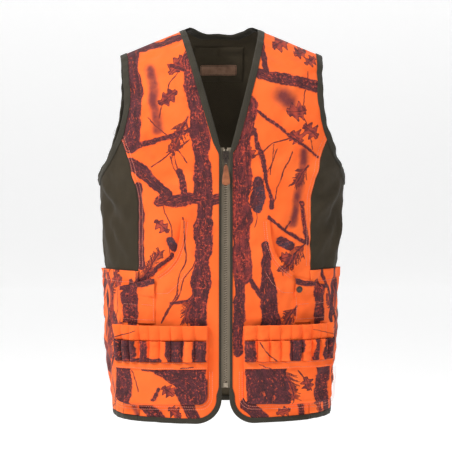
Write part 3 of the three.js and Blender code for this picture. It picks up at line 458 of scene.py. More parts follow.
def closed_sheet(name, P, Q, mats, fields=None, uv=None):
    """A closed sheet from two grids of points (rows, columns): its face P and its back Q."""
    nv, nu = P.shape[:2]
    n = nv * nu
    verts = np.concatenate([P.reshape(-1, 3), Q.reshape(-1, 3)])
    g = np.arange(n).reshape(nv, nu)
    out = np.stack([g[:-1, :-1].ravel(), g[:-1, 1:].ravel(), g[1:, 1:].ravel(), g[1:, :-1].ravel()], 1)
    low = np.stack([g[0, :-1] + n, g[0, 1:] + n, g[0, 1:], g[0, :-1]], 1)
    high = np.stack([g[-1, :-1], g[-1, 1:], g[-1, 1:] + n, g[-1, :-1] + n], 1)
    left = np.stack([g[:-1, 0] + n, g[:-1, 0], g[1:, 0], g[1:, 0] + n], 1)
    right = np.stack([g[:-1, -1], g[:-1, -1] + n, g[1:, -1] + n, g[1:, -1]], 1)
    faces = np.concatenate([out, out[:, ::-1] + n, low, high, left, right])
    a, b, c, d = (verts[faces[:, i]] for i in range(4))
    if (np.einsum("ij,ij->i", a, np.cross(b, c)) + np.einsum("ij,ij->i", a, np.cross(c, d))).sum() < 0:
        faces = faces[:, ::-1]
    back = np.zeros(len(faces))
    back[len(out) : 2 * len(out)] = 1
    ob = bare_object(name, verts, faces)
    if fields is not None:
        fields = {k: np.tile(v, (2, 1)) for k, v in fields.items()}
    if uv is not None:
        uv = np.tile(np.stack([uv[0].ravel(), uv[1].ravel()], 1), (2, 1))
    return finish_piece(ob, mats, back if len(mats) > 1 else None, fields, uv)


def sheet_piece(name, t, h, outer, inner, mats, strokes, xz):
    """A closed sheet of cloth on the body from grids of t and h (rows up, columns round).

    xz gives each point's place on the flat cloth, which the print and the weave follow.
    """
    xz = np.broadcast_arrays(*xz)
    fields = None if strokes is None else print_fields(*xz, strokes)
    return closed_sheet(name, place(t, h, outer), place(t, h, inner), mats, fields, xz)


def feed(node, inputs):
    """Links each input that is given a socket, and sets each that is given a value."""
    for k, v in dict(inputs).items():
        if isinstance(v, bpy.types.NodeSocket):
            node.id_data.links.new(v, node.inputs[k])
        else:
            node.inputs[k].default_value = v
    return node


def shader_nodes(tree):
    """A short way to add nodes to a tree."""

    def add(kind, inputs=(), **props):
        node = tree.nodes.new(kind)
        for k, v in props.items():
            setattr(node, k, v)
        return feed(node, inputs)

    return add


def mixed(add, k, a, b):
    """Colour a, turning to colour b as k goes from 0 to 1."""
    return feed(add("ShaderNodeMix", data_type="RGBA"), {0: k, 6: a, 7: b}).outputs[2]


def cloth_group(name):
    """An empty shader group that puts out a cloth's colour, roughness and height."""
    tree = bpy.data.node_groups.new(name, "ShaderNodeTree")
    tree.interface.new_socket("Color", in_out="OUTPUT", socket_type="NodeSocketColor")
    tree.interface.new_socket("Roughness", in_out="OUTPUT", socket_type="NodeSocketFloat")
    tree.interface.new_socket("Height", in_out="OUTPUT", socket_type="NodeSocketFloat")
    return tree, shader_nodes(tree)


def blank_material(name):
    m = bpy.data.materials.new(name)
    m.use_nodes = True
    return m, shader_nodes(m.node_tree), m.node_tree.nodes["Principled BSDF"]


def srgb(r, g, b):
    return tuple(
        ((c / 255 + 0.055) / 1.055) ** 2.4 if c > 10 else c / 255 / 12.92 for c in (r, g, b)
    ) + (1.0,)


def print_group():
    """The printed cloth: colour, roughness and height from the print's fields."""
    tree, add = cloth_group("branch_print")

    def math_(op, a, b=0.0, c=0.0):
        return add("ShaderNodeMath", {0: a, 1: b, 2: c}, operation=op).outputs[0]

    def ramp(value, lo, hi, a=0.0, b=1.0):
        ends = {"Value": value, "From Min": lo, "From Max": hi, "To Min": a, "To Max": b}
        return add("ShaderNodeMapRange", ends, interpolation_type="SMOOTHSTEP").outputs[0]

    def blend_(k, a, b):
        return mixed(add, k, a, b)

    parts = []
    for name in ("print_a", "print_b", "print_c"):
        att = add("ShaderNodeAttribute", attribute_name=name, attribute_type="GEOMETRY")
        parts += list(add("ShaderNodeSeparateXYZ", {0: att.outputs["Vector"]}).outputs)
    dark, along_, across, tone, soft, leaf, line, near, vein = parts
    uv = add("ShaderNodeUVMap", uv_map="cloth").outputs[0]

    def noise(scale, detail=3.0, rough=0.55, vector=uv):
        sizes = {"Vector": vector, "Scale": scale, "Detail": detail, "Roughness": rough}
        return add("ShaderNodeTexNoise", sizes).outputs["Fac"]

    # ragged edges, in millimetres
    ragged = math_("MULTIPLY", math_("SUBTRACT", noise(160, 4), 0.5), 5.0)
    edge = math_("ADD", dark, ragged)
    # bark runs with each stroke, so its grain is drawn out along it
    drawn_out = {
        0: math_("MULTIPLY", along_, 0.022),
        1: math_("MULTIPLY_ADD", across, 1.6, 3.0),
        2: math_("MULTIPLY", tone, 9.0),
    }
    grain_at = add("ShaderNodeCombineXYZ", drawn_out).outputs[0]
    grain = noise(1.6, 6, 0.68, grain_at)
    fine = noise(7.0, 4, 0.7, grain_at)
    blotch = noise(38, 3)
    bark = blend_(ramp(grain, 0.36, 0.6), srgb(36, 26, 38), srgb(80, 38, 50))
    red_bark = blend_(ramp(grain, 0.42, 0.62), srgb(84, 28, 40), srgb(200, 66, 48))
    reddish = ramp(math_("ADD", tone, math_("MULTIPLY", blotch, 0.8)), 0.8, 1.6)
    bark = blend_(reddish, bark, red_bark)
    bluish = math_("MULTIPLY", ramp(tone, 0.12, 0.02), ramp(blotch, 0.45, 0.6))
    bark = blend_(bluish, bark, srgb(48, 46, 62))
    bark = blend_(ramp(fine, 0.56, 0.66, 0, 0.65), bark, srgb(26, 18, 27))
    gaps = math_("MULTIPLY", ramp(noise(4.2, 5, 0.6, grain_at), 0.6, 0.67), 0.7)
    bark = blend_(gaps, bark, srgb(226, 88, 50))
    # dark pits and lit specks
    speck = noise(230, 5, 0.7)
    bark = blend_(ramp(speck, 0.47, 0.38, 0, 0.6), bark, srgb(24, 17, 32))
    lit = math_("MULTIPLY", ramp(blotch, 0.42, 0.58, 0.05, 0.9), ramp(tone, 0.0, 0.6, 0.4, 1.0))
    bark = blend_(math_("MULTIPLY", ramp(speck, 0.53, 0.62), lit), bark, srgb(212, 80, 58))
    # the blaze ground, its soft shadows, thin twigs and leaves
    base = blend_(ramp(noise(9, 2), 0.35, 0.7), srgb(255, 103, 38), srgb(255, 113, 48))
    base = blend_(math_("MULTIPLY", ramp(noise(26, 4), 0.54, 0.7), 0.28), base, srgb(238, 80, 38))
    base = blend_(math_("MULTIPLY", soft, ramp(blotch, 0.25, 0.6, 0.6, 0.95)), base, srgb(96, 40, 50))
    thin = math_("MULTIPLY", ramp(math_("ABSOLUTE", line), 1.35, 0.85), ramp(near, 2.4, 1.2))
    thin = math_("MULTIPLY", thin, ramp(noise(60), 0.3, 0.5, 0.55, 1.0))
    base = blend_(thin, base, srgb(92, 38, 42))
    in_leaf = ramp(math_("ADD", leaf, math_("MULTIPLY", ragged, 0.45)), 0.45, -0.45)
    rim = ramp(math_("ABSOLUTE", math_("ADD", leaf, 0.9)), 1.5, 0.6)
    ribs = ramp(math_("ABSOLUTE", vein), 1.1, 0.5)
    blade = blend_(ramp(noise(90, 4), 0.4, 0.62), srgb(92, 38, 48), srgb(176, 66, 50))
    inked = math_("MAXIMUM", math_("MULTIPLY", rim, 0.85), math_("MULTIPLY", ribs, 0.7))
    blade = blend_(inked, blade, srgb(48, 28, 38))
    base = blend_(in_leaf, base, blade)
    halo = ramp(edge, 3.2, 0.4, 0, 0.34)
    base = blend_(halo, base, srgb(196, 62, 40))
    colour = blend_(ramp(edge, 0.5, -0.5), base, bark)
    # fibres of the brushed face, with painted shade where they lie low and a painted highlight on the nap's
    # high spots
    drawn = add("ShaderNodeVectorMath", {0: uv, 1: (1.0, 0.35, 1.0)}, operation="MULTIPLY")
    fibres = {"Vector": drawn.outputs[0], "Scale": 2600, "Detail": 2.0}
    weave = add("ShaderNodeTexNoise", fibres).outputs["Fac"]
    nap = noise(900, 3)
    # painted highlight: lighter where the nap stands high
    colour = blend_(ramp(nap, 0.35, 0.75, 0, 0.10), colour, srgb(255, 140, 84))
    # painted shade: darker where the fibres lie low
    colour = blend_(ramp(weave, 0.5, 0.25, 0, 0.12), colour, srgb(120, 50, 34))
    height = math_("MULTIPLY_ADD", weave, 0.6, math_("MULTIPLY", nap, 0.5))
    rough = math_("MULTIPLY_ADD", nap, 0.12, 0.8)
    add("NodeGroupOutput", {"Color": colour, "Roughness": rough, "Height": height})
    return tree


BRANCH_PRINT = print_group()


def cloth_material(name, group, sheen=0.06, bump=0.00035):
    m, add, bsdf = blank_material(name)
    made = add("ShaderNodeGroup", node_tree=group).outputs
    raised = {"Height": made["Height"], "Strength": 0.7, "Distance": bump}
    feed(bsdf, {
        "Base Color": made["Color"],
        "Roughness": made["Roughness"],
        "Normal": add("ShaderNodeBump", raised).outputs[0],
        "Sheen Weight": sheen,
        "Sheen Roughness": 0.5,
        "Specular IOR Level": 0.2,
    })
    return m


def plain_group(name, main, other, scale=(1500.0, 700.0)):
    """Plain woven cloth: fine diagonal ribs and slubs, with painted highlight on the raised ribs and painted
    shade in the grooves, and a little dust.
    """
    tree, add = cloth_group(name)
    uv = add("ShaderNodeUVMap", uv_map="cloth").outputs[0]
    ribs = {
        "Vector": uv, "Scale": scale[0] / 6.3, "Distortion": 1.2, "Detail": 1.0, "Detail Scale": 3.0
    }
    twill = add("ShaderNodeTexWave", ribs, wave_type="BANDS", bands_direction="DIAGONAL").outputs["Fac"]
    slub = add("ShaderNodeTexNoise", {"Vector": uv, "Scale": scale[1], "Detail": 3.0}).outputs["Fac"]
    dust = add("ShaderNodeTexNoise", {"Vector": uv, "Scale": 14.0, "Detail": 5.0}).outputs["Fac"]
    height = add("ShaderNodeMath", {0: twill, 1: 0.6, 2: slub}, operation="MULTIPLY_ADD").outputs[0]
    # painted light: the colour runs from the painted shade in the grooves (main) to the painted highlight on
    # the raised ribs and slubs (other)
    painted_rib_light = add("ShaderNodeMapRange", {"Value": height, "From Min": 0.35, "From Max": 1.3}).outputs[0]
    dusty = {"Value": dust, "From Min": 0.5, "From Max": 0.8, "To Max": 0.22}
    pale = tuple(min(1.0, c * 1.9) for c in other[:3]) + (1.0,)
    colour = mixed(
        add, add("ShaderNodeMapRange", dusty).outputs[0], mixed(add, painted_rib_light, main, other), pale
    )
    rough = add("ShaderNodeMapRange", {"Value": slub, "To Min": 0.78, "To Max": 0.95}).outputs[0]
    add("NodeGroupOutput", {"Color": colour, "Roughness": rough, "Height": height})
    return tree


# each cloth's first colour is its painted shade in the rib grooves, its second the painted highlight on the
# raised ribs
OLIVE = cloth_material(
    "olive cloth", plain_group("olive_weave", srgb(44, 38, 27), srgb(64, 55, 41)), 0.05
)
LINING = cloth_material(
    "olive lining", plain_group("lining_weave", srgb(64, 56, 43), srgb(84, 74, 57)), 0.05
)
PRINTED = cloth_material("printed blaze cloth", BRANCH_PRINT)


def front_grid(sign, step=0.0021):
    straight = np.arange(HEM + CORNER + step, TOP - 0.0008, step * 1.1)
    rows = np.concatenate([np.linspace(HEM, HEM + CORNER, 30), straight, [TOP - 0.0002]])
    a, b = front_inner(rows), front_outer(rows) - 0.0002
    u = np.linspace(0, 1, int(0.165 / step))
    t = mix(a[:, None], b[:, None], u[None])
    h = np.broadcast_to(rows[:, None], t.shape)
    return (t, h) if sign > 0 else (-t[:, ::-1], h)


# The hand pocket's mouth, from its top down, and how far the cloth outboard of it sinks
MOUTH = through([(0.075, 0.374), (0.079, 0.338), (0.089, 0.308), (0.105, 0.286), (0.124, 0.271)], 120)


def mouth_dip(x, z):
    """Depth of the cloth behind the mouth edge, over points x (from the centre) and z."""
    best, side = np.full(x.shape, 1.0), np.zeros(x.shape)
    for a, b in zip(MOUTH[::4], MOUTH[4::4]):
        d = b - a
        k = np.clip(((x - a[0]) * d[0] + (z - a[1]) * d[1]) / (d @ d), 0, 1)
        ox, oz = x - a[0] - k * d[0], z - a[1] - k * d[1]
        dist = np.hypot(ox, oz)
        hit = dist < best
        best = np.where(hit, dist, best)
        side = np.where(hit, oz * d[0] - ox * d[1], side)
    near = smooth((0.03 - best) / 0.026) * smooth((best - 0.001) / 0.002)
    return -0.0036 * smooth((0.371 - z) / 0.02) * (side > 0) * near


def follow_front(ob):
    """Bakes the piece's place into its mesh."""
    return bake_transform(ob)


for side, sign, strokes in (("left", 1, PRINT_LEFT), ("right", -1, PRINT_RIGHT)):
    t, h = front_grid(sign)
    x, z = surf(t, h)[..., 0], surf(t, h)[..., 2] + LENGTH
    dip = mouth_dip(np.abs(x), z)
    made_of = [PRINTED, LINING]
    ob = sheet_piece(side + "_front_panel", t, h, CLOTH + dip, 0.0003 + dip, made_of, strokes, (x, z))
    follow_front(ob)
    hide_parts("front_panel_" + side)

# ---- Side panels and back -------------------------------------------------------------------
# Plain olive stretch cloth under each arm, and an olive back lined with lighter cloth. They are
# sewn to the fronts and to each other at the side seams, and to the fronts at the shoulders.
def panel_side(sign):
    u = np.linspace(0, 1, 64)[None]
    v = np.concatenate([np.linspace(0, 0.9, 76), np.linspace(0.907, 1, 22)])[:, None]
    low = ARM[(ARM[:, 1] < 0.545)]
    high = np.full(u.shape, ARMPIT)
    for _ in range(60):
        t = mix(seam_front(high) + 0.002, seam_back(high) - 0.002, u)
        high = mix(high, np.interp(t, low[:, 0], low[:, 1]) - 0.0006, 0.5)
    h = mix(HEM, high, v)
    t = mix(seam_front(h) + 0.0002, seam_back(h) - 0.0002, u)
    return (t, h) if sign > 0 else (-t[:, ::-1], h[:, ::-1])


for side, sign in (("left", 1), ("right", -1)):
    t, h = panel_side(sign)
    ob = sheet_piece(
        side + "_side_panel", t, h, CLOTH - 0.0002, 0.0004, [OLIVE, LINING], None, (t * 0.2, h)
    )
    follow_front(ob)
    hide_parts("side_panel_" + side)

NECK_ANGLE = float(np.arcsin((0.069 / half_width(TOP)) ** (SQUARE / 2)))
NECK_LOW = float(level(0.0, 0.708))


def neck_height(k):
    """Height of the back neck's edge, k being 0 at its middle and 1 at the shoulder seam."""
    return mix(NECK_LOW, TOP - 0.0004, np.clip(np.abs(k), 0, 1) ** 3)


reach = math.pi - float(arm_t(np.array([TOP]), True)[0])
kn = NECK_ANGLE / reach
columns = [np.linspace(-1, -kn, 34)[:-1], np.linspace(-kn, kn, 35), np.linspace(kn, 1, 34)[1:]]
u = np.concatenate(columns)[None]
v = np.concatenate([np.linspace(0, 0.86, 110), np.linspace(0.866, 1, 34)])[:, None]
h = mix(HEM, neck_height(u * reach / NECK_ANGLE), v)
t = np.pi + u * (np.pi - back_outer(h) - 0.0002)
back = sheet_piece(
    "back_panel_cloth", t, h, CLOTH - 0.0001, 0.0004, [OLIVE, LINING], None, (t * 0.2, h)
)
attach(back, "back")
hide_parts("back_panel")

# ---- Neck facing and its label -----------------------------------------------------------------
# A second layer of olive cloth inside the back neck, turned under and sewn down all round, and on
# it a blank leather label sewn along its four sides.
def lie_inside(x0, x1, z0, z1, nu, nv, corner=0.0):
    """A grid on the inside of the back, seen from the front, with corners rounded by a squeeze."""
    zs = mix(z0, z1, np.linspace(0, 1, nv)[:, None])
    pull = rounding(corner, np.minimum(zs - z0, z1 - zs))
    x = mix(x0 + pull, x1 - pull, np.linspace(0, 1, nu)[None])
    hh = level(x, zs + 0 * x)
    return turn(x, hh, True), hh, x, zs + 0 * x


FACING_HALF, FACING_LOW, FACING_HIGH = 0.047, 0.628, 0.6935
t, h, x, z = lie_inside(-FACING_HALF, FACING_HALF, FACING_LOW, FACING_HIGH, 40, 30)
edge = np.minimum(FACING_HALF - np.abs(x), np.minimum(z - FACING_LOW, FACING_HIGH - z))
puff = 0.0007 * smooth(edge / 0.003) - 0.0004 * np.exp(-(((edge - 0.004) / 0.0012) ** 2))
facing = sheet_piece("neck_facing_cloth", t, h, -0.0004 + 0 * t, -0.0011 - puff, [LINING], None, (x, z))
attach(facing, "back")
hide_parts("neck_facing")


def grained(name, main, dark, light, scale=420.0, rough=0.55):
    """Leather: pebbled grain, with a cloudy tone, darker in places and lighter where it has rubbed."""
    m, add, bsdf = blank_material(name)
    at_ = add("ShaderNodeTexCoord").outputs["Object"]
    cells = add("ShaderNodeTexVoronoi", {"Vector": at_, "Scale": scale}).outputs["Distance"]
    cloud = add("ShaderNodeTexNoise", {"Vector": at_, "Scale": 70.0, "Detail": 5.0}).outputs["Fac"]
    ramp = add("ShaderNodeValToRGB", {"Fac": cloud})
    ramp.color_ramp.elements[0].color, ramp.color_ramp.elements[1].color = dark, light
    ramp.color_ramp.elements[0].position, ramp.color_ramp.elements[1].position = 0.3, 0.75
    ramp.color_ramp.elements.new(0.5).color = main
    handled = {"Value": cloud, "To Min": rough - 0.12, "To Max": rough + 0.15}
    pebbled = {"Height": cells, "Strength": 0.6, "Distance": 0.0003}
    feed(bsdf, {
        "Base Color": ramp.outputs[0],
        "Roughness": add("ShaderNodeMapRange", handled).outputs[0],
        "Normal": add("ShaderNodeBump", pebbled).outputs[0],
    })
    return m


LABEL_HIDE = grained("label leather", srgb(168, 126, 100), srgb(136, 96, 74), srgb(188, 148, 120))
LABEL_HALF, LABEL_LOW, LABEL_HIGH = 0.0355, 0.640, 0.660
t, h, x, z = lie_inside(-LABEL_HALF, LABEL_HALF, LABEL_LOW, LABEL_HIGH, 50, 18, 0.0016)
edge = np.minimum(LABEL_HALF - np.abs(x), np.minimum(z - LABEL_LOW, LABEL_HIGH - z))
puff = 0.0009 * np.sqrt(smooth(edge / 0.0015)) - 0.00035 * np.exp(-(((edge - 0.0019) / 0.0006) ** 2))
label = sheet_piece(
    "blank_neck_label", t, h, -0.0020 + 0 * t, -0.0023 - puff, [LABEL_HIDE], None, (x, z)
)
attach(label, "back")
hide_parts("neck_label")

# ---- Edge bindings -------------------------------------------------------------------------------
# Ribbed olive tape folded over every raw edge: round each front from the side seam along the hem,
# up the zip and the V neck to the shoulder, and on round the back neck, the hem and the armholes.
# its first colour is the painted shade in the rib grooves, its second the painted highlight on the raised
# ribs
TAPE = cloth_material(
    "binding tape", plain_group("binding_rib", srgb(46, 42, 34), srgb(64, 59, 48), (2600.0, 900.0)),
    0.1, 0.0003,
)


def loft(name, rings, mats, uv=None):
    """Joins rings of points (count, around, 3) into one closed body, capped at both ends."""
    ns, nc = rings.shape[:2]
    g = np.arange(ns * nc).reshape(ns, nc)
    a, b = g[:-1], g[1:]
    around = [a.ravel(), np.roll(a, -1, 1).ravel(), np.roll(b, -1, 1).ravel(), b.ravel()]
    faces = np.stack(around, 1).tolist() + [list(g[0][::-1]), list(g[-1])]
    verts = rings.reshape(-1, 3)
    volume = 0.0
    for f in faces:
        p = verts[f] - verts[0]
        volume += sum(float(np.dot(p[0], np.cross(p[i], p[i + 1]))) for i in range(1, len(f) - 1))
    if volume < 0:
        faces = [f[::-1] for f in faces]
    if uv is not None:
        uv = np.stack([uv[0].ravel(), uv[1].ravel()], 1)
    return finish_piece(bare_object(name, verts, faces), mats, uv=uv)


def evenly(path, gap):
    """Points of a (t, h) path about gap metres apart."""
    p = surf(path[:, 0], path[:, 1])
    s = np.concatenate([[0], np.cumsum(np.linalg.norm(np.diff(p, axis=0), axis=1))])
    k = np.linspace(0, s[-1], max(3, int(s[-1] / gap) + 1))
    return np.stack([np.interp(k, s, path[:, 0]), np.interp(k, s, path[:, 1])], 1), k


def beside(path, inward):
    """How t and h change per metre square to a path, to the inward side."""
    t, h = path[:, 0], path[:, 1]
    du, dv, n = tangents(t, h)
    along_ = np.gradient(surf(t, h), axis=0)
    along_ /= np.linalg.norm(along_, axis=1, keepdims=True)
    e = np.cross(along_, n) * inward
    return (e * du).sum(1) / (du * du).sum(1), (e * dv).sum(1) / (dv * dv).sum(1)


def sweep_on(name, path, inward, section, mats, wide=1.0, gap=0.003):
    """Sweeps a section of (across, out) points in millimetres along a path on the cloth."""
    path, s = evenly(path, gap)
    dt, dh = beside(path, inward)
    w = wide(path, s) if callable(wide) else wide
    sec = np.array(section) / 1000
    e = sec[None, :, 0] * np.broadcast_to(w, s.shape)[:, None]
    t = path[:, :1] + e * dt[:, None]
    h = path[:, 1:] + e * dh[:, None]
    round_ = np.concatenate([[0], np.cumsum(np.hypot(*np.diff(sec, axis=0).T))])
    uv = np.broadcast_arrays(s[:, None], round_[None])
    return loft(name, place(t, h, sec[None, :, 1] + 0 * t), mats, uv)


# the tape's section, in millimetres in from the edge and out of the cloth
FOLD = [
    (10, 2.1), (10, 2.7), (9.4, 3.0), (5, 3.1), (1, 3.0), (-0.6, 2.6), (-1.2, 1.6), (-1.3, 0.4),
    (-1.0, -0.9), (0, -1.6), (5, -1.8), (9.4, -1.75), (10, -1.5), (10, -0.9), (5, -0.8), (0.5, -0.7),
    (-0.3, 0.1), (-0.4, 1.0), (0.2, 2.0), (5, 2.15),
]


def on_front(points, sign):
    """Front-view points (x from the middle, z) as a (t, h) path on the left or the right front."""
    p = np.array(points, float)
    return np.stack([turn(p[:, 0] * sign, p[:, 1]), p[:, 1]], 1)


def front_path():
    """The front's outline from the side seam along the hem, up the zip and the V to the shoulder."""
    seam = float(seam_front(np.array([HEM]))[0])
    low = [(t, HEM) for t in np.linspace(seam, float(turn(ZIP_X + CORNER, HEM)) + 0.003, 60)]
    a = np.linspace(math.pi / 2, 0, 40)
    arc = on_front(np.stack([ZIP_X + CORNER * (1 - np.cos(a)), HEM + CORNER * (1 - np.sin(a))], 1), 1)
    zip_up, neck_up = (
        np.linspace(HEM + CORNER + 0.002, V_BOTTOM, 60), np.linspace(V_BOTTOM, TOP - 0.0004, 90),
    )
    up = np.concatenate([zip_up, neck_up[1:]])
    return np.concatenate([low, arc, np.stack([front_inner(up), up], 1)])


def front_width(path, s):
    h, x = path[:, 1], surf(path[:, 0], path[:, 1])[:, 0]
    at_zip = smooth((h - 0.050) / 0.02) * smooth((V_BOTTOM + 0.02 - h) / 0.03)
    return mix(mix(0.9, 1.05, smooth((h - 0.45) / 0.1)), 0.42, at_zip)


FRONT_PATH = front_path()
arm_front_path, arm_back_path = ARM[: ARM_LOW + 1], ARM[ARM_LOW:]
seam_a, seam_b = float(seam_front(np.array([HEM]))[0]), float(seam_back(np.array([HEM]))[0])
back_neck = np.array(
    [(math.pi - k * NECK_ANGLE, float(neck_height(k))) for k in np.linspace(1, -1, 90)]
)
for side, sign in (("left", 1), ("right", -1)):
    flip = np.array([sign, 1])
    for name, path, wide, node, flat in (
        ("front_edge_binding", FRONT_PATH, front_width, "front_binding_", (0.018, 0.95)),
        ("front_armhole_binding", arm_front_path, 1.15, "armhole_binding_front_", (0.027, 0.345)),
        ("back_armhole_binding", arm_back_path, 1.15, "armhole_binding_back_", (0.027, 0.345)),
    ):
        ob = sweep_on(side + "_" + name, path * flip, sign, FOLD, [TAPE], wide)
        follow_front(ob)
        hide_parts(node + side)
    round_side = np.array([(t, HEM) for t in np.linspace(seam_a + 0.001, seam_b, 40)])
    ob = sweep_on(side + "_side_hem_binding", round_side * flip, -sign, FOLD, [TAPE], 0.9)
    follow_front(ob)
    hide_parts("hem_binding_back")
across_back = np.array(
    [(t, HEM) for t in np.linspace(seam_b + 0.001, 2 * math.pi - seam_b - 0.001, 110)]
)
for name, path, inward, wide, node, long in (
    ("back_hem_binding", across_back, -1, 0.9, "hem_binding_back", 0.34),
    ("back_neck_binding", back_neck[::-1], 1, 1.05, "neck_binding_back", 0.24),
):
    ob = sweep_on(name, path, inward, FOLD, [TAPE], wide)
    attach(ob, "back")
    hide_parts(node)

# ---- Game bag ------------------------------------------------------------------------------------
# One wide printed pocket across the back, wrapping to the front at both sides. It is sewn down at
# the hem and at its front ends, and its turned top edge stands off the back for birds to go in.
BAG_Z0, BAG_TOP, BAG_T = HEM + 0.0102, 0.279, 0.0012
bag_a = float(turn(0.189, BAG_TOP))


def bag_out(t, h):
    k = (np.abs(t - np.pi) * -1 + np.pi - bag_a) / (2 * np.pi - 2 * bag_a)
    side_ = smooth((k - 0.1) / 0.2)
    rise = 0.026 * side_ * smooth((h - BAG_Z0) / (0.55 * (BAG_TOP - BAG_Z0)))
    droop = 0.0016 * waves(t * 0.2, h, 21, 0.09) * smooth((h - BAG_Z0) / 0.05) * side_
    return CLOTH + 0.001 + rise + droop


for side, sign, strokes in (("left", 1, PRINT_LEFT), ("right", -1, PRINT_RIGHT)):
    u = np.linspace(0, 1, 150)[None]
    v = np.linspace(0, 1, 92)[:, None]
    h = mix(BAG_Z0, BAG_TOP, v) + 0 * u
    start = turn(0.1556, h)
    t = mix(start, math.pi - 0.0004, u)
    drop = -0.010 * smooth((u - 0.15) / 0.5) * v
    h = h + drop
    hem = smooth((v - 0.925) / 0.006)
    out = bag_out(t, h)
    groove = 0.0008 * np.exp(-(((v - 0.922) / 0.006) ** 2))
    if sign < 0:
        t, h, out = -t[:, ::-1], h[:, ::-1], out[:, ::-1]
    face = out + BAG_T + 0.0007 * hem - groove
    print_on = strokes + woods(sign * 196, sign * 640, 0, 280, 8 + sign, 800)
    ob = sheet_piece(
        side + "_game_bag_half", t, h, face, out, [PRINTED, LINING], print_on, (t * 0.2, h)
    )
    follow_front(ob)
    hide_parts("game_bag", "game_bag_hem")

# ---- Zip ---------------------------------------------------------------------------------------
# Two woven tapes sewn behind the front edges, each with a row of moulded teeth that mesh to the
# slider, a retainer box and pin at the foot, and a stop at the top of each row.
# its first colour is the painted shade in the weave's grooves, its second the painted highlight on the
# raised ribs
ZIP_TAPE = cloth_material(
    "zip tape", plain_group("zip_weave", srgb(118, 107, 91), srgb(142, 130, 112), (3000.0, 1200.0)),
    0.05, 0.0002,
)


def worn(name, main, other, rough, metal=0.0, scale=300.0):
    """Moulded plastic or plated metal: cloudy, scuffed, rougher where it is handled."""
    m, add, bsdf = blank_material(name)
    at_ = add("ShaderNodeTexCoord").outputs["Object"]
    clouds = {"Vector": at_, "Scale": scale, "Detail": 6.0, "Roughness": 0.7}
    cloud = add("ShaderNodeTexNoise", clouds).outputs["Fac"]
    scuff = add("ShaderNodeTexNoise", {"Vector": at_, "Scale": scale * 5, "Detail": 3.0}).outputs["Fac"]
    k = add("ShaderNodeMapRange", {"Value": cloud, "From Min": 0.35, "From Max": 0.68}).outputs[0]
    rubbed = {
        "Value": scuff, "From Min": 0.3, "From Max": 0.7, "To Min": rough - 0.1, "To Max": rough + 0.14
    }
    nicked = {"Height": scuff, "Strength": 0.25, "Distance": 0.0002}
    feed(bsdf, {
        "Base Color": mixed(add, k, main, other),
        "Roughness": add("ShaderNodeMapRange", rubbed).outputs[0],
        "Normal": add("ShaderNodeBump", nicked).outputs[0],
        "Metallic": metal,
    })
    return m


PLASTIC = worn("zip moulding", srgb(132, 118, 100), srgb(168, 154, 134), 0.36)
BRONZE = worn("dark plated metal", srgb(58, 50, 47), srgb(96, 84, 74), 0.4, 0.7)


def along_group():
    """Geometry Nodes: one copy of a small piece every pitch along each line of a mesh, facing its normal."""
    tree = bpy.data.node_groups.new("set_along_lines", "GeometryNodeTree")
    tree.interface.new_socket("Geometry", in_out="INPUT", socket_type="NodeSocketGeometry")
    tree.interface.new_socket("Small piece", in_out="INPUT", socket_type="NodeSocketObject")
    tree.interface.new_socket("Pitch", in_out="INPUT", socket_type="NodeSocketFloat")
    tree.interface.new_socket("Material", in_out="INPUT", socket_type="NodeSocketMaterial")
    tree.interface.new_socket("Geometry", in_out="OUTPUT", socket_type="NodeSocketGeometry")
    add = shader_nodes(tree)
    gin = tree.nodes.new("NodeGroupInput")
    curve = add("GeometryNodeMeshToCurve", {"Mesh": gin.outputs["Geometry"]}).outputs[0]
    even = add(
        "GeometryNodeResampleCurve", {"Curve": curve, "Length": gin.outputs["Pitch"]}, mode="LENGTH"
    ).outputs[0]
    face = add("GeometryNodeInputNamedAttribute", {"Name": "face"}, data_type="FLOAT_VECTOR").outputs[0]
    up = add(
        "FunctionNodeAlignEulerToVector", {"Vector": add("GeometryNodeInputTangent").outputs[0]},
        axis="Z",
    ).outputs[0]
    turned = add(
        "FunctionNodeAlignEulerToVector", {"Rotation": up, "Vector": face}, axis="X", pivot_axis="Z"
    ).outputs[0]
    piece = add("GeometryNodeObjectInfo", {"Object": gin.outputs["Small piece"]}).outputs["Geometry"]
    copies = add(
        "GeometryNodeInstanceOnPoints", {"Points": even, "Instance": piece, "Rotation": turned}
    ).outputs[0]
    real = add("GeometryNodeRealizeInstances", {0: copies}).outputs[0]
    done = add(
        "GeometryNodeSetMaterial", {"Geometry": real, "Material": gin.outputs["Material"]}
    ).outputs[0]
    gout = tree.nodes.new("NodeGroupOutput")
    tree.links.new(done, gout.inputs[0])
    return tree


ALONG = along_group()


def set_along(name, lines, small, pitch, material):
    """Runs the group over lines of (points, face vectors) and returns the result as a plain mesh."""
    verts, edges, faces_ = [], [], []
    for p, f in lines:
        edges += [(len(verts) + i, len(verts) + i + 1) for i in range(len(p) - 1)]
        verts += [tuple(map(float, q)) for q in p]
        faces_ += [tuple(map(float, q)) for q in f]
    me = bpy.data.meshes.new(name)
    me.from_pydata(verts, edges, [])
    me.attributes.new("face", "FLOAT_VECTOR", "POINT").data.foreach_set(
        "vector", np.array(faces_, np.float32).ravel()
    )
    ob = bpy.data.objects.new(name, me)
    bpy.context.scene.collection.objects.link(ob)
    mod = ob.modifiers.new("along", "NODES")
    mod.node_group = ALONG
    ids = {i.name: i.identifier for i in ALONG.interface.items_tree if i.in_out == "INPUT"}
    mod[ids["Small piece"]], mod[ids["Pitch"]], mod[ids["Material"]] = small, pitch, material
    ob.update_tag()
    bpy.context.view_layer.update()
    result = bpy.data.meshes.new_from_object(ob.evaluated_get(bpy.context.evaluated_depsgraph_get()))
    ob.modifiers.clear()
    ob.data = result
    result.polygons.foreach_set("use_smooth", np.ones(len(result.polygons), bool))
    return ob


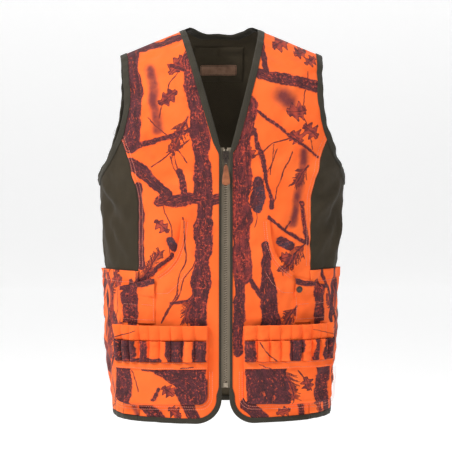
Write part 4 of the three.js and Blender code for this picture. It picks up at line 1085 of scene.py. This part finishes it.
def block(name, size, spot=(0, 0, 0), bevel=0.0003, taper=1.0, into=None):
    """A bevelled block; taper narrows its far Y side. Joins the mesh given as into."""
    bm = bmesh.new()
    bmesh.ops.create_cube(bm, size=1.0)
    for w in bm.verts:
        k = taper if w.co.x > 0 else 1.0
        w.co = Vector(c * s * j + o for c, s, j, o in zip(w.co, size, (1, k, k), spot))
    bmesh.ops.bevel(bm, geom=list(bm.edges), offset=bevel, segments=2, profile=0.5, affect="EDGES")
    if into is not None:
        bm.from_mesh(into.data)
        bm.to_mesh(into.data)
        bm.free()
        return into
    me = bpy.data.meshes.new(name)
    bm.to_mesh(me)
    bm.free()
    ob = bpy.data.objects.new(name, me)
    bpy.context.scene.collection.objects.link(ob)
    return ob


def drop(*obs):
    for o in obs:
        bpy.data.objects.remove(o, do_unlink=True)


ZIP_FOOT, ZIP_HEAD, TOOTH_PITCH = 0.066, 0.5038, 0.0032
tooth = block("tooth", (0.0030, 0.0023, 0.0015), (-0.0006, 0, 0), 0.0003, 0.8)
block("", (0.0012, 0.0019, 0.0011), (0.0012, 0, 0), 0.0003, 0.9, tooth)
for side, sign in (("left", 1), ("right", -1)):
    u = np.linspace(0, 1, 14)[None]
    h = np.linspace(ZIP_FOOT, ZIP_HEAD, 180)[:, None] + 0 * u
    x = sign * mix(0.0024, 0.018, u if sign > 0 else 1 - u) + 0 * h
    t = turn(x, h)
    rib = 0.0002 * np.exp(-(((np.abs(x) - 0.0036) / 0.0008) ** 2)) - 0.0001 * np.sin(np.abs(x) * 2600)
    ob = sheet_piece(side + "_zip_tape_weave", t, h, -0.0023 + rib, -0.0029, [ZIP_TAPE], None, (x, h))
    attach(ob, "front_" + side)
    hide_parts("zip_tape_" + side)
    # one row starts half a pitch higher, so its teeth stand between the other's
    zs = np.linspace(0.0785 + (TOOTH_PITCH / 2 if sign > 0 else 0), 0.4925, 60)
    p = place(turn(np.full(60, sign * 0.0012), zs), zs, -0.00235)
    facing_middle = np.tile([-sign, 0, 0], (60, 1))
    ob = set_along(side + "_zip_tooth_row", [(p, facing_middle)], tooth, TOOTH_PITCH, PLASTIC)
    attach(ob, "front_" + side)
    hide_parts("zip_teeth_" + side)
drop(tooth)


def dress(node, material):
    """A small hard piece keeps its exact CAD shape and takes a worked surface."""
    ob = bpy.data.objects[node]
    ob.data.materials.clear()
    ob.data.materials.append(material)


for node in ("zip_retainer_box", "zip_insertion_pin", "zip_top_stop_left", "zip_top_stop_right"):
    dress(node, PLASTIC)
for node in ("zip_slider", "pull_tab", "snap_stud", "snap_socket"):
    dress(node, BRONZE)

# ---- Leather pull ----------------------------------------------------------------------------------
# A drop of thick tan leather folded through the tab's eye, wider at its foot. Its burnished edges
# and the line of stitches round it are not modelled.
TAN = grained("tan leather", srgb(150, 86, 50), srgb(106, 56, 32), srgb(178, 112, 68), 520.0, 0.5)
lo, hi = (np.array(v[:]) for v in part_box("leather_pull"))
long, rings = hi[2] - lo[2], []
for k in np.linspace(0, 1, 40):
    z = hi[2] - 0.0002 - k * (long - 0.0004)
    foot = 1 - ((k - 0.86) / 0.14) ** 2 if k > 0.86 else 1
    wide = mix(0.0037, 0.0073, smooth(k / 0.85)) * math.sqrt(max(0.02, foot))
    wide *= math.sqrt(min(1.0, 0.15 + k / 0.05))
    thick = 0.0011 * min(1.0, 0.4 + 6 * min(k + 0.02, 1 - k + 0.02))
    y = mix(lo[1], hi[1], 0.5) + (0.5 - k) * (hi[1] - lo[1] - 0.0026)
    ring = []
    for a in np.linspace(0, 2 * math.pi, 28, endpoint=False):
        c = math.cos(a)
        # edges cut nearly square
        square = abs(c) ** -0.5 if abs(c) > 0.05 else 1
        ring.append(((lo[0] + hi[0]) / 2 + wide * c * square, y + thick * math.sin(a), z))
    rings.append(ring)
ob = loft("leather_zip_pull", np.array(rings), [TAN])
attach(ob, "leather_pull")
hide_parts("leather_pull")

# ---- Hand pockets ------------------------------------------------------------------------------------
# A curved mouth with a folded printed welt, an olive bag hanging inside, and outboard of it a sewn
# printed patch with a turned edge. On the wearer's left that edge closes with a capped snap.
POUCH_IN, POUCH_OUT, POUCH_FOOT, POUCH_HEAD, POUCH_ROUND = 0.070, 0.141, 0.188, 0.385, 0.022
PATCH_IN, PATCH_OUT, PATCH_FOOT = 0.127, 0.1865, 0.183
EDGE_FOOT, EDGE_BEND = 0.2335, 0.2430
WELT = [
    (-4.5, 1.9), (-4.5, 2.4), (-3.9, 2.9), (-1, 3.6), (2.5, 4.2), (4.2, 4.0), (4.9, 3.2), (4.7, 2.0)
]
for side, sign, strokes in (("left", 1, PRINT_LEFT), ("right", -1, PRINT_RIGHT)):
    body = "front_" + side
    ob = sweep_on(side + "_pocket_welt", on_front(MOUTH, sign), -sign, WELT, [PRINTED], 1.0, 0.0022)
    co = np.array([v.co[:] for v in ob.data.vertices])
    for name, value in print_fields(co[:, 0], co[:, 2] + LENGTH, strokes).items():
        field = ob.data.attributes.new(name, "FLOAT_VECTOR", "POINT")
        field.data.foreach_set("vector", value.astype(np.float32).ravel())
    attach(ob, body)
    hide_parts("hand_pocket_welt_" + side)

    u, v = np.linspace(0, 1, 44)[None], np.linspace(0, 1, 70)[:, None]
    z = mix(POUCH_FOOT, POUCH_HEAD, v) + 0 * u
    round_ = rounding(POUCH_ROUND, z - POUCH_FOOT)
    x = mix(POUCH_IN + round_, POUCH_OUT - round_, u if sign > 0 else 1 - u)
    ends = smooth((z - POUCH_FOOT) / 0.03) * smooth((POUCH_HEAD - z) / 0.05)
    deep = 0.0165 * (np.sin(np.pi * np.clip(u, 0.001, 0.999)) ** 0.45) * ends
    deep = deep * (1 + 0.1 * waves(x, z, 17, 0.05))
    t = turn(x * sign, z)
    ob = sheet_piece(
        side + "_hand_pocket_bag", t, z, -0.0052 - 0.8 * deep, -0.0062 - 0.8 * deep, [LINING], None,
        (x, z),
    )
    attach(ob, body)
    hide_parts("hand_pocket_bag_" + side)

    # the sewn patch, above the game bag's wrapped end
    u, v = np.linspace(0, 1, 42)[None], np.linspace(0, 1, 40)[:, None]
    x = mix(PATCH_IN, PATCH_OUT, u if sign > 0 else 1 - u) + 0 * v
    z = mix(PATCH_FOOT, mix(0.2405, 0.2365, (x - PATCH_IN) / 0.06), v)
    edge = np.minimum(x - PATCH_IN, PATCH_OUT - x)
    out = mix(0.0032, 0.0052, smooth((x - PATCH_IN) / 0.014))
    out = out + 0.0006 * waves(x, z, 23, 0.035) - 0.0012 * np.exp(-((edge / 0.0012) ** 2))
    t = turn(x * sign, z)
    under = 0.0022 + 0.0019 * smooth((x - 0.156) / 0.003)
    ob = sheet_piece(side + "_side_patch_cloth", t, z, out, under, [PRINTED], strokes, (x * sign, z))
    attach(ob, body)
    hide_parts("side_patch_" + side)

    # its turned upper edge, running on from the foot of the welt
    u, v = np.linspace(0, 1, 46)[None], np.linspace(0, 1, 22)[:, None]
    x = mix(PATCH_IN, PATCH_OUT, u if sign > 0 else 1 - u) + 0 * v
    top = mix(0.2665, 0.2515, smooth((x - PATCH_IN) / 0.06))
    z = mix(EDGE_FOOT, top, v)
    drawn_in = np.exp(-((v / 0.04) ** 2)) + np.exp(-(((1 - v) / 0.04) ** 2))
    roll = 0.0006 * smooth((v - 0.35) / 0.1) - 0.0009 * drawn_in
    out = 0.0064 + roll + 0.0004 * waves(x, z, 29, 0.03)
    branch = ("trunk", 9, 0.1, [(sign * 120, 264), (sign * 150, 255), (sign * 190, 247)])
    t = turn(x * sign, z)
    name = side + "_pocket_mouth_edge"
    ob = sheet_piece(name, t, z, out, 0.0056 + 0 * t, [PRINTED], strokes + [branch], (x * sign, z))
    if sign > 0:
        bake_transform(ob)
    else:
        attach(ob, body)
    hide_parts("pocket_mouth_edge_" + side)

# the snap's cap: a pressed dome with a rolled rim
lo, hi = (np.array(v[:]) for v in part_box("snap_cap"))
middle = (lo + hi) / 2
axis = Vector((0.3748, -0.9268, -0.0219)).normalized()
turned = axis.to_track_quat("Z", "Y").to_matrix()
# the cap's section: radius in metres, and height as a share of its thickness
profile = [
    (0.0, 1.0), (0.0022, 0.98), (0.0038, 0.86), (0.0046, 0.62), (0.0049, 0.42), (0.0053, 0.40),
    (0.0058, 0.52), (0.0062, 0.38), (0.0062, 0.1), (0.0058, 0.0), (0.0, 0.0),
]
rings = []
for r, k in profile[::-1]:
    r = max(r, 0.00005)
    ring = []
    for a in np.linspace(0, 2 * math.pi, 40, endpoint=False):
        ring.append(
            middle + np.array(turned @ Vector((r * math.cos(a), r * math.sin(a), -0.0009 + 0.0018 * k)))
        )
    rings.append(ring)
ob = loft("snap_cap_dome", np.array(rings), [BRONZE])
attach(ob, "pocket_mouth")
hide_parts("snap_cap")

# ---- Cargo pockets -----------------------------------------------------------------------------------
# Printed box pockets low on the fronts: a face with rounded foot, a folded gusset down its sides and
# along its foot, a deep turned mouth, and on the face a row of nine cartridge loops over a strip.
CARGO_IN, CARGO_OUT, CARGO_FOOT, CARGO_CORNER = 0.033, 0.184, 0.036, 0.015
CARGO_A, CARGO_B = float(turn(CARGO_IN, 0.091)), float(turn(CARGO_OUT, 0.091))
LOOPS = 9
PITCH = (CARGO_B - CARGO_A) / LOOPS


def cargo_out(t, h):
    k = (np.abs(t) - CARGO_A) / (CARGO_B - CARGO_A)
    return CLOTH + 0.006 + 0.014 * smooth(k) + 0.005 * np.maximum(0, (h - 0.154) / 0.028)


def from_sides(u):
    """How far a point across the pocket is from the nearer side, in metres of cloth."""
    return np.minimum(u, 1 - u) * 0.183


def crowned(t, h, edge):
    """The pocket's face, which fills out away from its edges."""
    return cargo_out(t, h) + 0.0025 * smooth(edge / 0.05)


def cargo_grid(sign, z0, z1, nu, nv, corner=0.0):
    """A grid over the pocket's width: t, h, and how far across (u) and up (v) each point is."""
    z = mix(z0, z1, np.linspace(0, 1, nv)[:, None])
    pull = rounding(corner, z - z0)
    u = np.linspace(0, 1, nu)[None]
    t = mix(turn(CARGO_IN + pull, z), turn(CARGO_OUT - pull, z), u)
    if sign < 0:
        t, u = -t[:, ::-1], u[:, ::-1]
    h = z + 0 * t
    return t, h, u + 0 * t, (h - z0) / (z1 - z0)


def foot_outline(x_in, x_out, foot, top, side_gap, foot_gap, counts):
    """Points down one side of a pocket, round its foot, and up its other side."""
    on_side, on_corner, on_foot = counts
    inner, outer, low = x_in + CARGO_CORNER, x_out - CARGO_CORNER, foot + CARGO_CORNER
    q = np.linspace(0.1, 1.47, on_corner)
    up = np.linspace(low + side_gap, top, on_side)
    along_foot = np.linspace(inner + foot_gap, outer - foot_gap, on_foot)
    return np.concatenate([
        np.stack([x_in + 0 * up, up[::-1]], 1),
        np.stack([inner - CARGO_CORNER * np.cos(q), low - CARGO_CORNER * np.sin(q)], 1),
        np.stack([along_foot, foot + 0 * along_foot], 1),
        np.stack([outer + CARGO_CORNER * np.sin(q), low - CARGO_CORNER * np.cos(q)], 1),
        np.stack([x_out + 0 * up, up], 1),
    ])


def tunnel(u, h, seed):
    """The loops' rise across the row, 0 in each stitched valley; every loop slumps a little differently."""
    rng = np.random.default_rng(seed)
    n = np.clip((u * LOOPS).astype(int), 0, LOOPS - 1)
    w = u * LOOPS - n
    lean = rng.uniform(-0.10, 0.10, LOOPS)[n]
    tall = rng.uniform(0.72, 1.0, LOOPS)[n]
    w = np.clip(w + lean * np.sin(np.pi * w), 0, 1)
    return tall * np.sin(np.pi * w) ** 0.5


POCKET_RIGHT = [
    ("trunk", 31, 0.45, [(-176, 104), (-178, 34)]),
    ("wedge", 20, 0.35, [(-120, 104), (-74, 84), (-50, 52)]),
    ("trunk", 32, 0.35, [(-52, 104), (-50, 60)]),
    ("trunk", 6, 0.3, [(-128, 46), (-116, 66)]), ("trunk", 6, 0.3, [(-140, 100), (-112, 96)]),
    ("line", 2, 0.3, [(-160, 98), (-150, 60)]), ("leaf", 26, 0.5, [(-110, 70), (-90, 52)]),
]
POCKET_LEFT = [
    ("wedge", 26, 0.1, [(64, 104), (70, 76), (78, 40)]), ("trunk", 30, 0.2, [(92, 100), (96, 66)]),
    ("needles", 3, 0.2, [(104, 98), (122, 48)]),
    ("trunk", 22, 0.45, [(166, 106), (168, 34)]), ("trunk", 16, 0.4, [(42, 96), (46, 50)]),
    ("line", 2, 0.3, [(128, 96), (150, 60)]), ("leaf", 24, 0.5, [(138, 84), (146, 60)]),
]


def upright(*trunks):
    """Trunks that cross the loops, given as (distance from the middle, width, tone)."""
    return [("trunk", w, tone, [(x, 160), (x, 108)]) for x, w, tone in trunks]


LOOPS_RIGHT = upright((-214, 24, 0.2), (-170, 38, 0.3), (-140, 12, 0.6), (-89, 27, 0.1), (-47, 24, 0.5))
LOOPS_RIGHT += [("trunk", 10, 0.3, [(-160, 116), (-116, 120)])]
LOOPS_LEFT = upright((43, 18, 0.5), (121, 20, 0.1), (155, 11, 0.3), (184, 34, 0.2))
LOOPS_LEFT += [("line", 2.4, 0.3, [(60, 150), (92, 112)])]

for side, sign, pocket, loops in (
    ("left", 1, POCKET_LEFT, LOOPS_LEFT),
    ("right", -1, POCKET_RIGHT, LOOPS_RIGHT),
):
    body = "front_" + side
    t, h, u, v = cargo_grid(sign, CARGO_FOOT, 0.181, 124, 108, CARGO_CORNER)
    x = surf(t, h)[..., 0]
    edge = np.minimum(from_sides(u), h - CARGO_FOOT)
    face = crowned(t, h, edge) + 0.0009 * waves(x, h, 33 + sign, 0.045) * smooth(edge / 0.02)
    # rolled over at its edges, and drawn in along its stitching
    face = face - 0.0022 * (1 - np.sqrt(1 - (1 - np.clip(edge / 0.0028, 0, 1)) ** 2))
    face = face - 0.00035 * np.exp(-(((edge - 0.0065) / 0.0012) ** 2))
    ob = sheet_piece(
        side + "_cargo_pocket_face", t, h, face, face - 0.0012, [PRINTED, LINING], pocket, (x, h)
    )
    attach(ob, body)
    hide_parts("cargo_pocket_" + side)

    # gusset, following the face's outline a little inside it
    line = foot_outline(0.0348, 0.1822, 0.0378, 0.180, 0.0002, 0.0022, (40, 12, 50))
    path = on_front(line, sign)
    dt, dh = beside(path, sign)
    k = np.linspace(0, 1, 12)[:, None]
    low = 0.0021 + 0.0021 * smooth((line[:, 0] - 0.152) / 0.008)[None]
    high = cargo_out(path[:, 0], path[:, 1])[None] - 0.0018
    inn = np.clip(0.0038 * np.sin(np.pi * k) * (high - low) / 0.012, 0, 0.005)
    P, Q = (
        place(path[:, 0] + dt * (inn + thick), path[:, 1] + dh * (inn + thick), mix(low, high, k))
        for thick in (0, 0.0009)
    )
    run = np.linspace(0, 0.44, len(path))[None] + 0 * k
    fields = print_fields(line[None, :, 0] * sign + 0 * k, line[None, :, 1] + 0 * k, pocket)
    ob = closed_sheet(side + "_cargo_pocket_gusset", P, Q, [PRINTED], fields, (run, k * 0.02 + 0 * run))
    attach(ob, body)
    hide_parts("cargo_gusset_" + side)

    # the turned mouth, gathered a little by the loops below it
    t, h, u, v = cargo_grid(sign, 0.1548, 0.1825, 220, 22)
    x = surf(t, h)[..., 0]
    base = crowned(t, h, from_sides(u))
    wave = 0.0060 * tunnel(u, h, 51 + sign) * mix(1.0, 0.55, v) + 0.0006 * waves(x, h, 41, 0.02)
    out = base + 0.0022 + wave
    out = out - 0.0008 * np.exp(-(((1 - v) / 0.06) ** 2)) - 0.0005 * np.exp(-((v / 0.06) ** 2))
    twig = [("line", 1.6, 0.3, [(sign * 150, 172), (sign * 180, 160)])]
    ob = sheet_piece(side + "_cargo_pocket_mouth", t, h, out, out - 0.0016, [PRINTED], twig, (x, h))
    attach(ob, body)
    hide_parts("cargo_hem_" + side)

    # the row of cartridge loops, open above and below
    t, h, u, v = cargo_grid(sign, 0.1165, 0.1542, 290, 34)
    x = surf(t, h)[..., 0]
    rise = 0.0115 * tunnel(u, h, 51 + sign) * mix(0.72, 1.0, smooth(v))
    creases = 0.0005 * waves(x, h, 43, 0.012) * np.sin(np.pi * np.clip(u * LOOPS % 1, 0, 1))
    out = crowned(t, h, from_sides(u)) + 0.0021 + rise + creases
    ob = sheet_piece(side + "_cartridge_loops", t, h, out, out - 0.0011, [PRINTED], loops, (x, h))
    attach(ob, body)
    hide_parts("loop_band_" + side)

    # the plain strip under the loops
    t, h, u, v = cargo_grid(sign, 0.1020, 0.1158, 150, 14)
    x = surf(t, h)[..., 0]
    base = crowned(t, h, from_sides(u))
    round_over = 0.0009 * np.sqrt(np.clip(np.sin(np.pi * v), 0, 1))
    out = base + 0.0020 + round_over + 0.0004 * waves(x, h, 47, 0.018)
    twig = [("line", 2, 0.3, [(sign * 60, 108), (sign * 80, 104)])]
    ob = sheet_piece(side + "_loop_strip", t, h, out, base + 0.0005, [PRINTED], twig, (x, h))
    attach(ob, body)
    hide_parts("loop_base_" + side)

# ---- Topstitching --------------------------------------------------------------------------------------
# Faded thread in straight runs: double rows beside the side seams and round the pockets, single rows
# along every binding, round the patches and down between the loops.
def thread_material(name, main):
    m, add, bsdf = blank_material(name)
    at_ = add("ShaderNodeTexCoord").outputs["Object"]
    n = add("ShaderNodeTexNoise", {"Vector": at_, "Scale": 240.0, "Detail": 2.0}).outputs["Fac"]
    k = add("ShaderNodeMapRange", {"Value": n, "From Min": 0.35, "From Max": 0.65}).outputs[0]
    faded = tuple(min(1, c * 1.5) for c in main[:3]) + (1,)
    rough = add("ShaderNodeMapRange", {"Value": n, "To Min": 0.6, "To Max": 0.85}).outputs[0]
    feed(bsdf, {"Base Color": mixed(add, k, main, faded), "Roughness": rough})
    return m


PALE = thread_material("faded thread", srgb(196, 118, 98))
DARK = thread_material("olive thread", srgb(44, 41, 34))
STITCH_PITCH = 0.0037
stitch = block("stitch", (0.0005, 0.0007, 0.0026), bevel=0.00018)


def seam_line(path, inward, across, out):
    """A line of stitching beside a (t, h) path: its points and the way each stitch faces."""
    path, s = evenly(np.asarray(path, float), 0.004)
    dt, dh = beside(path, inward)
    keep = (s > 0.002) & (s < s[-1] - 0.002)
    t, h = (path[:, 0] + across * dt)[keep], (path[:, 1] + across * dh)[keep]
    d = out(t, h) if callable(out) else out
    return place(t, h, d), tangents(t, h)[2]


def cargo_skin(t, h):
    """Height of the cargo pocket's face under its stitches."""
    from_side = np.minimum(np.abs(t) - CARGO_A, CARGO_B - np.abs(t)) * 0.2
    return crowned(t, h, np.minimum(h - CARGO_FOOT, from_side)) + 0.0001


def strip_skin(t, h):
    return cargo_skin(t, h) + 0.0026


def valley_skin(t, h):
    return cargo_skin(t, h) + 0.0021


def bag_skin(t, h):
    return bag_out(np.abs(t), h) + BAG_T + 0.0002


ON_FRONT, ON_TAPE, ON_PATCH = CLOTH + 0.0001, 0.0031, 0.0054
DOUBLE_ROW = (0.002, 0.0075)
POUCH_LINE = [(0.072, 0.279), (0.084, 0.2585), (0.104, 0.240), (0.127, 0.2385)]
for side, sign in (("left", 1), ("right", -1)):
    flip = np.array([sign, 1])
    hs = np.linspace(0.285, 0.532, 60)
    side_seam = np.stack([seam_front(hs), hs], 1) * flip
    swing = [seam_line(side_seam, -sign, w, ON_FRONT) for w in DOUBLE_ROW]
    ts = np.linspace(float(turn(0.162, 0.258)), math.pi - 0.01, 90)
    bag_top = np.stack([sign * ts, 0.258 - 0.010 * smooth(((ts - 1.0) / 2.1 - 0.15) / 0.5)], 1)
    swing.append(seam_line(bag_top, sign, 0, bag_skin))

    dark = [seam_line(FRONT_PATH * flip, sign, 0.0037, ON_TAPE)]
    dark += [seam_line(path * flip, sign, 0.0095, ON_TAPE) for path in (arm_front_path, arm_back_path)]

    mouth = on_front(MOUTH, sign)
    fixed = [seam_line(mouth, -sign, -0.0025, 0.0034), seam_line(mouth, -sign, -0.0065, ON_FRONT)]
    fixed.append(seam_line(on_front(POUCH_LINE, sign), sign, 0, ON_FRONT))
    for z in (0.190, 0.2175):
        across_patch = [(x, z) for x in np.linspace(0.130, 0.184, 20)]
        fixed.append(seam_line(on_front(across_patch, sign), sign, 0, ON_PATCH))
    fixed.append(seam_line(on_front([(0.1295, 0.186), (0.1295, 0.233)], sign), sign, 0, ON_PATCH))
    outline = foot_outline(CARGO_IN, CARGO_OUT, CARGO_FOOT, 0.100, 0, 0.003, (20, 10, 40))
    fixed += [seam_line(on_front(outline, sign), sign, w, cargo_skin) for w in (0.0035, 0.0085)]
    for z in (0.1045, 0.1135):
        along_strip = [(sign * t, z) for t in np.linspace(CARGO_A + 0.01, CARGO_B - 0.01, 60)]
        fixed.append(seam_line(along_strip, sign, 0, strip_skin))
    for n in range(1, LOOPS):
        valley = sign * (CARGO_A + n * PITCH)
        fixed.append(seam_line([(valley, 0.118), (valley, 0.153)], sign, 0, valley_skin))

    ob = set_along(side + "_edge_topstitch", dark, stitch, STITCH_PITCH, DARK)
    follow_front(ob)
    ob = set_along(side + "_seam_topstitch", swing, stitch, STITCH_PITCH, PALE)
    follow_front(ob)
    ob = set_along(side + "_pocket_topstitch", fixed, stitch, STITCH_PITCH, PALE)
    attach(ob, "front_" + side)

# the back's rows: inside its neck and hem bindings, beside the side seams, and across the shoulders
dark = [seam_line(back_neck[::-1], 1, 0.0095, ON_TAPE), seam_line(across_back, -1, 0.0075, ON_TAPE)]
hs = np.linspace(0.29, 0.54, 60)
yoke = np.linspace(reach - 0.05, NECK_ANGLE + 0.06, 30)
for way in (-1, 1):
    beside_seam = np.stack([np.pi + way * (np.pi - seam_back(hs)), hs], 1)
    dark += [seam_line(beside_seam, way, w, CLOTH) for w in DOUBLE_ROW]
    dark.append(seam_line(np.stack([np.pi + way * yoke, 0 * yoke + TOP - 0.004], 1), -way, 0.0, CLOTH))
# the label's four sides
half, low, high = LABEL_HALF - 0.0019, LABEL_LOW + 0.0018, LABEL_HIGH - 0.0018
corners = [(-half, low), (half, low), (half, high), (-half, high), (-half, low)]
inside = []
for (xa, za), (xb, zb) in zip(corners, corners[1:]):
    xs, zs = np.linspace(xa, xb, 12), np.linspace(za, zb, 12)
    hh = level(xs, zs)
    tt = turn(xs, hh, True)
    inside.append((place(tt, hh, -0.0031), -tangents(tt, hh)[2]))
for name, lines, pitch in (("back_topstitch", dark, STITCH_PITCH), ("label_stitch", inside, 0.003)):
    ob = set_along(name, lines, stitch, pitch, DARK)
    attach(ob, "back")
drop(stitch)

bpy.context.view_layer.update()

# ---- Studio ---------------------------------------------------------------------------------
# A pale sweep behind and below, three soft lights and a long lens level with the chest.
sweep = []
for k in np.linspace(0, 1, 40):
    a = k * math.pi / 2
    sweep.append((5.0 + 1.5 * math.sin(a), -1.02 + 1.5 * (1 - math.cos(a))))
profile = [(-30.0, -1.02), *sweep, (6.5, 7.0)]
verts = [(x, y, z) for y, z in profile for x in (-30, 30)]
faces = [(2 * i, 2 * i + 1, 2 * i + 3, 2 * i + 2) for i in range(len(profile) - 1)]
floor = bare_object("studio_sweep", verts, faces)
paper, _, shader = blank_material("studio paper")
lit = {"Emission Color": (1, 1, 1, 1), "Emission Strength": 0.35}
feed(shader, {"Base Color": (0.9, 0.9, 0.9, 1), "Roughness": 0.9, **lit})
finish_piece(floor, [paper])

for name, spot, energy, wide in (
    ("key", (-2.1, -1.6, 1.8), 88, 0.8),
    ("fill", (2.2, -2.4, 0.2), 15, 2.2),
    ("top", (0.2, -0.5, 2.4), 24, 1.0),
):
    light = bpy.data.lights.new(name, "AREA")
    light.energy, light.size = energy, wide
    ob = bpy.data.objects.new(name, light)
    ob.location = spot
    ob.rotation_euler = (Vector((0, 0, -0.35)) - Vector(spot)).to_track_quat("-Z", "Y").to_euler()
    bpy.context.scene.collection.objects.link(ob)
world = bpy.data.worlds.new("studio")
world.use_nodes = True
world.node_tree.nodes["Background"].inputs[0].default_value = (1, 1, 1, 1)
world.node_tree.nodes["Background"].inputs[1].default_value = 0.34
bpy.context.scene.world = world
bpy.context.scene.view_settings.view_transform = "Standard"

cam = bpy.data.cameras.new("camera")
cam.lens, cam.sensor_width = 137, 36
camera = bpy.data.objects.new("camera", cam)
az, el, far = math.radians(-3.5), math.radians(4), 3.25
aim = Vector((0.0085, 0, -0.366))
way = Vector((math.sin(az) * math.cos(el), -math.cos(az) * math.cos(el), math.sin(el)))
camera.location = aim + way * far
camera.rotation_euler = (-way).to_track_quat("-Z", "Y").to_euler()
bpy.context.scene.collection.objects.link(camera)
bpy.context.scene.camera = camera
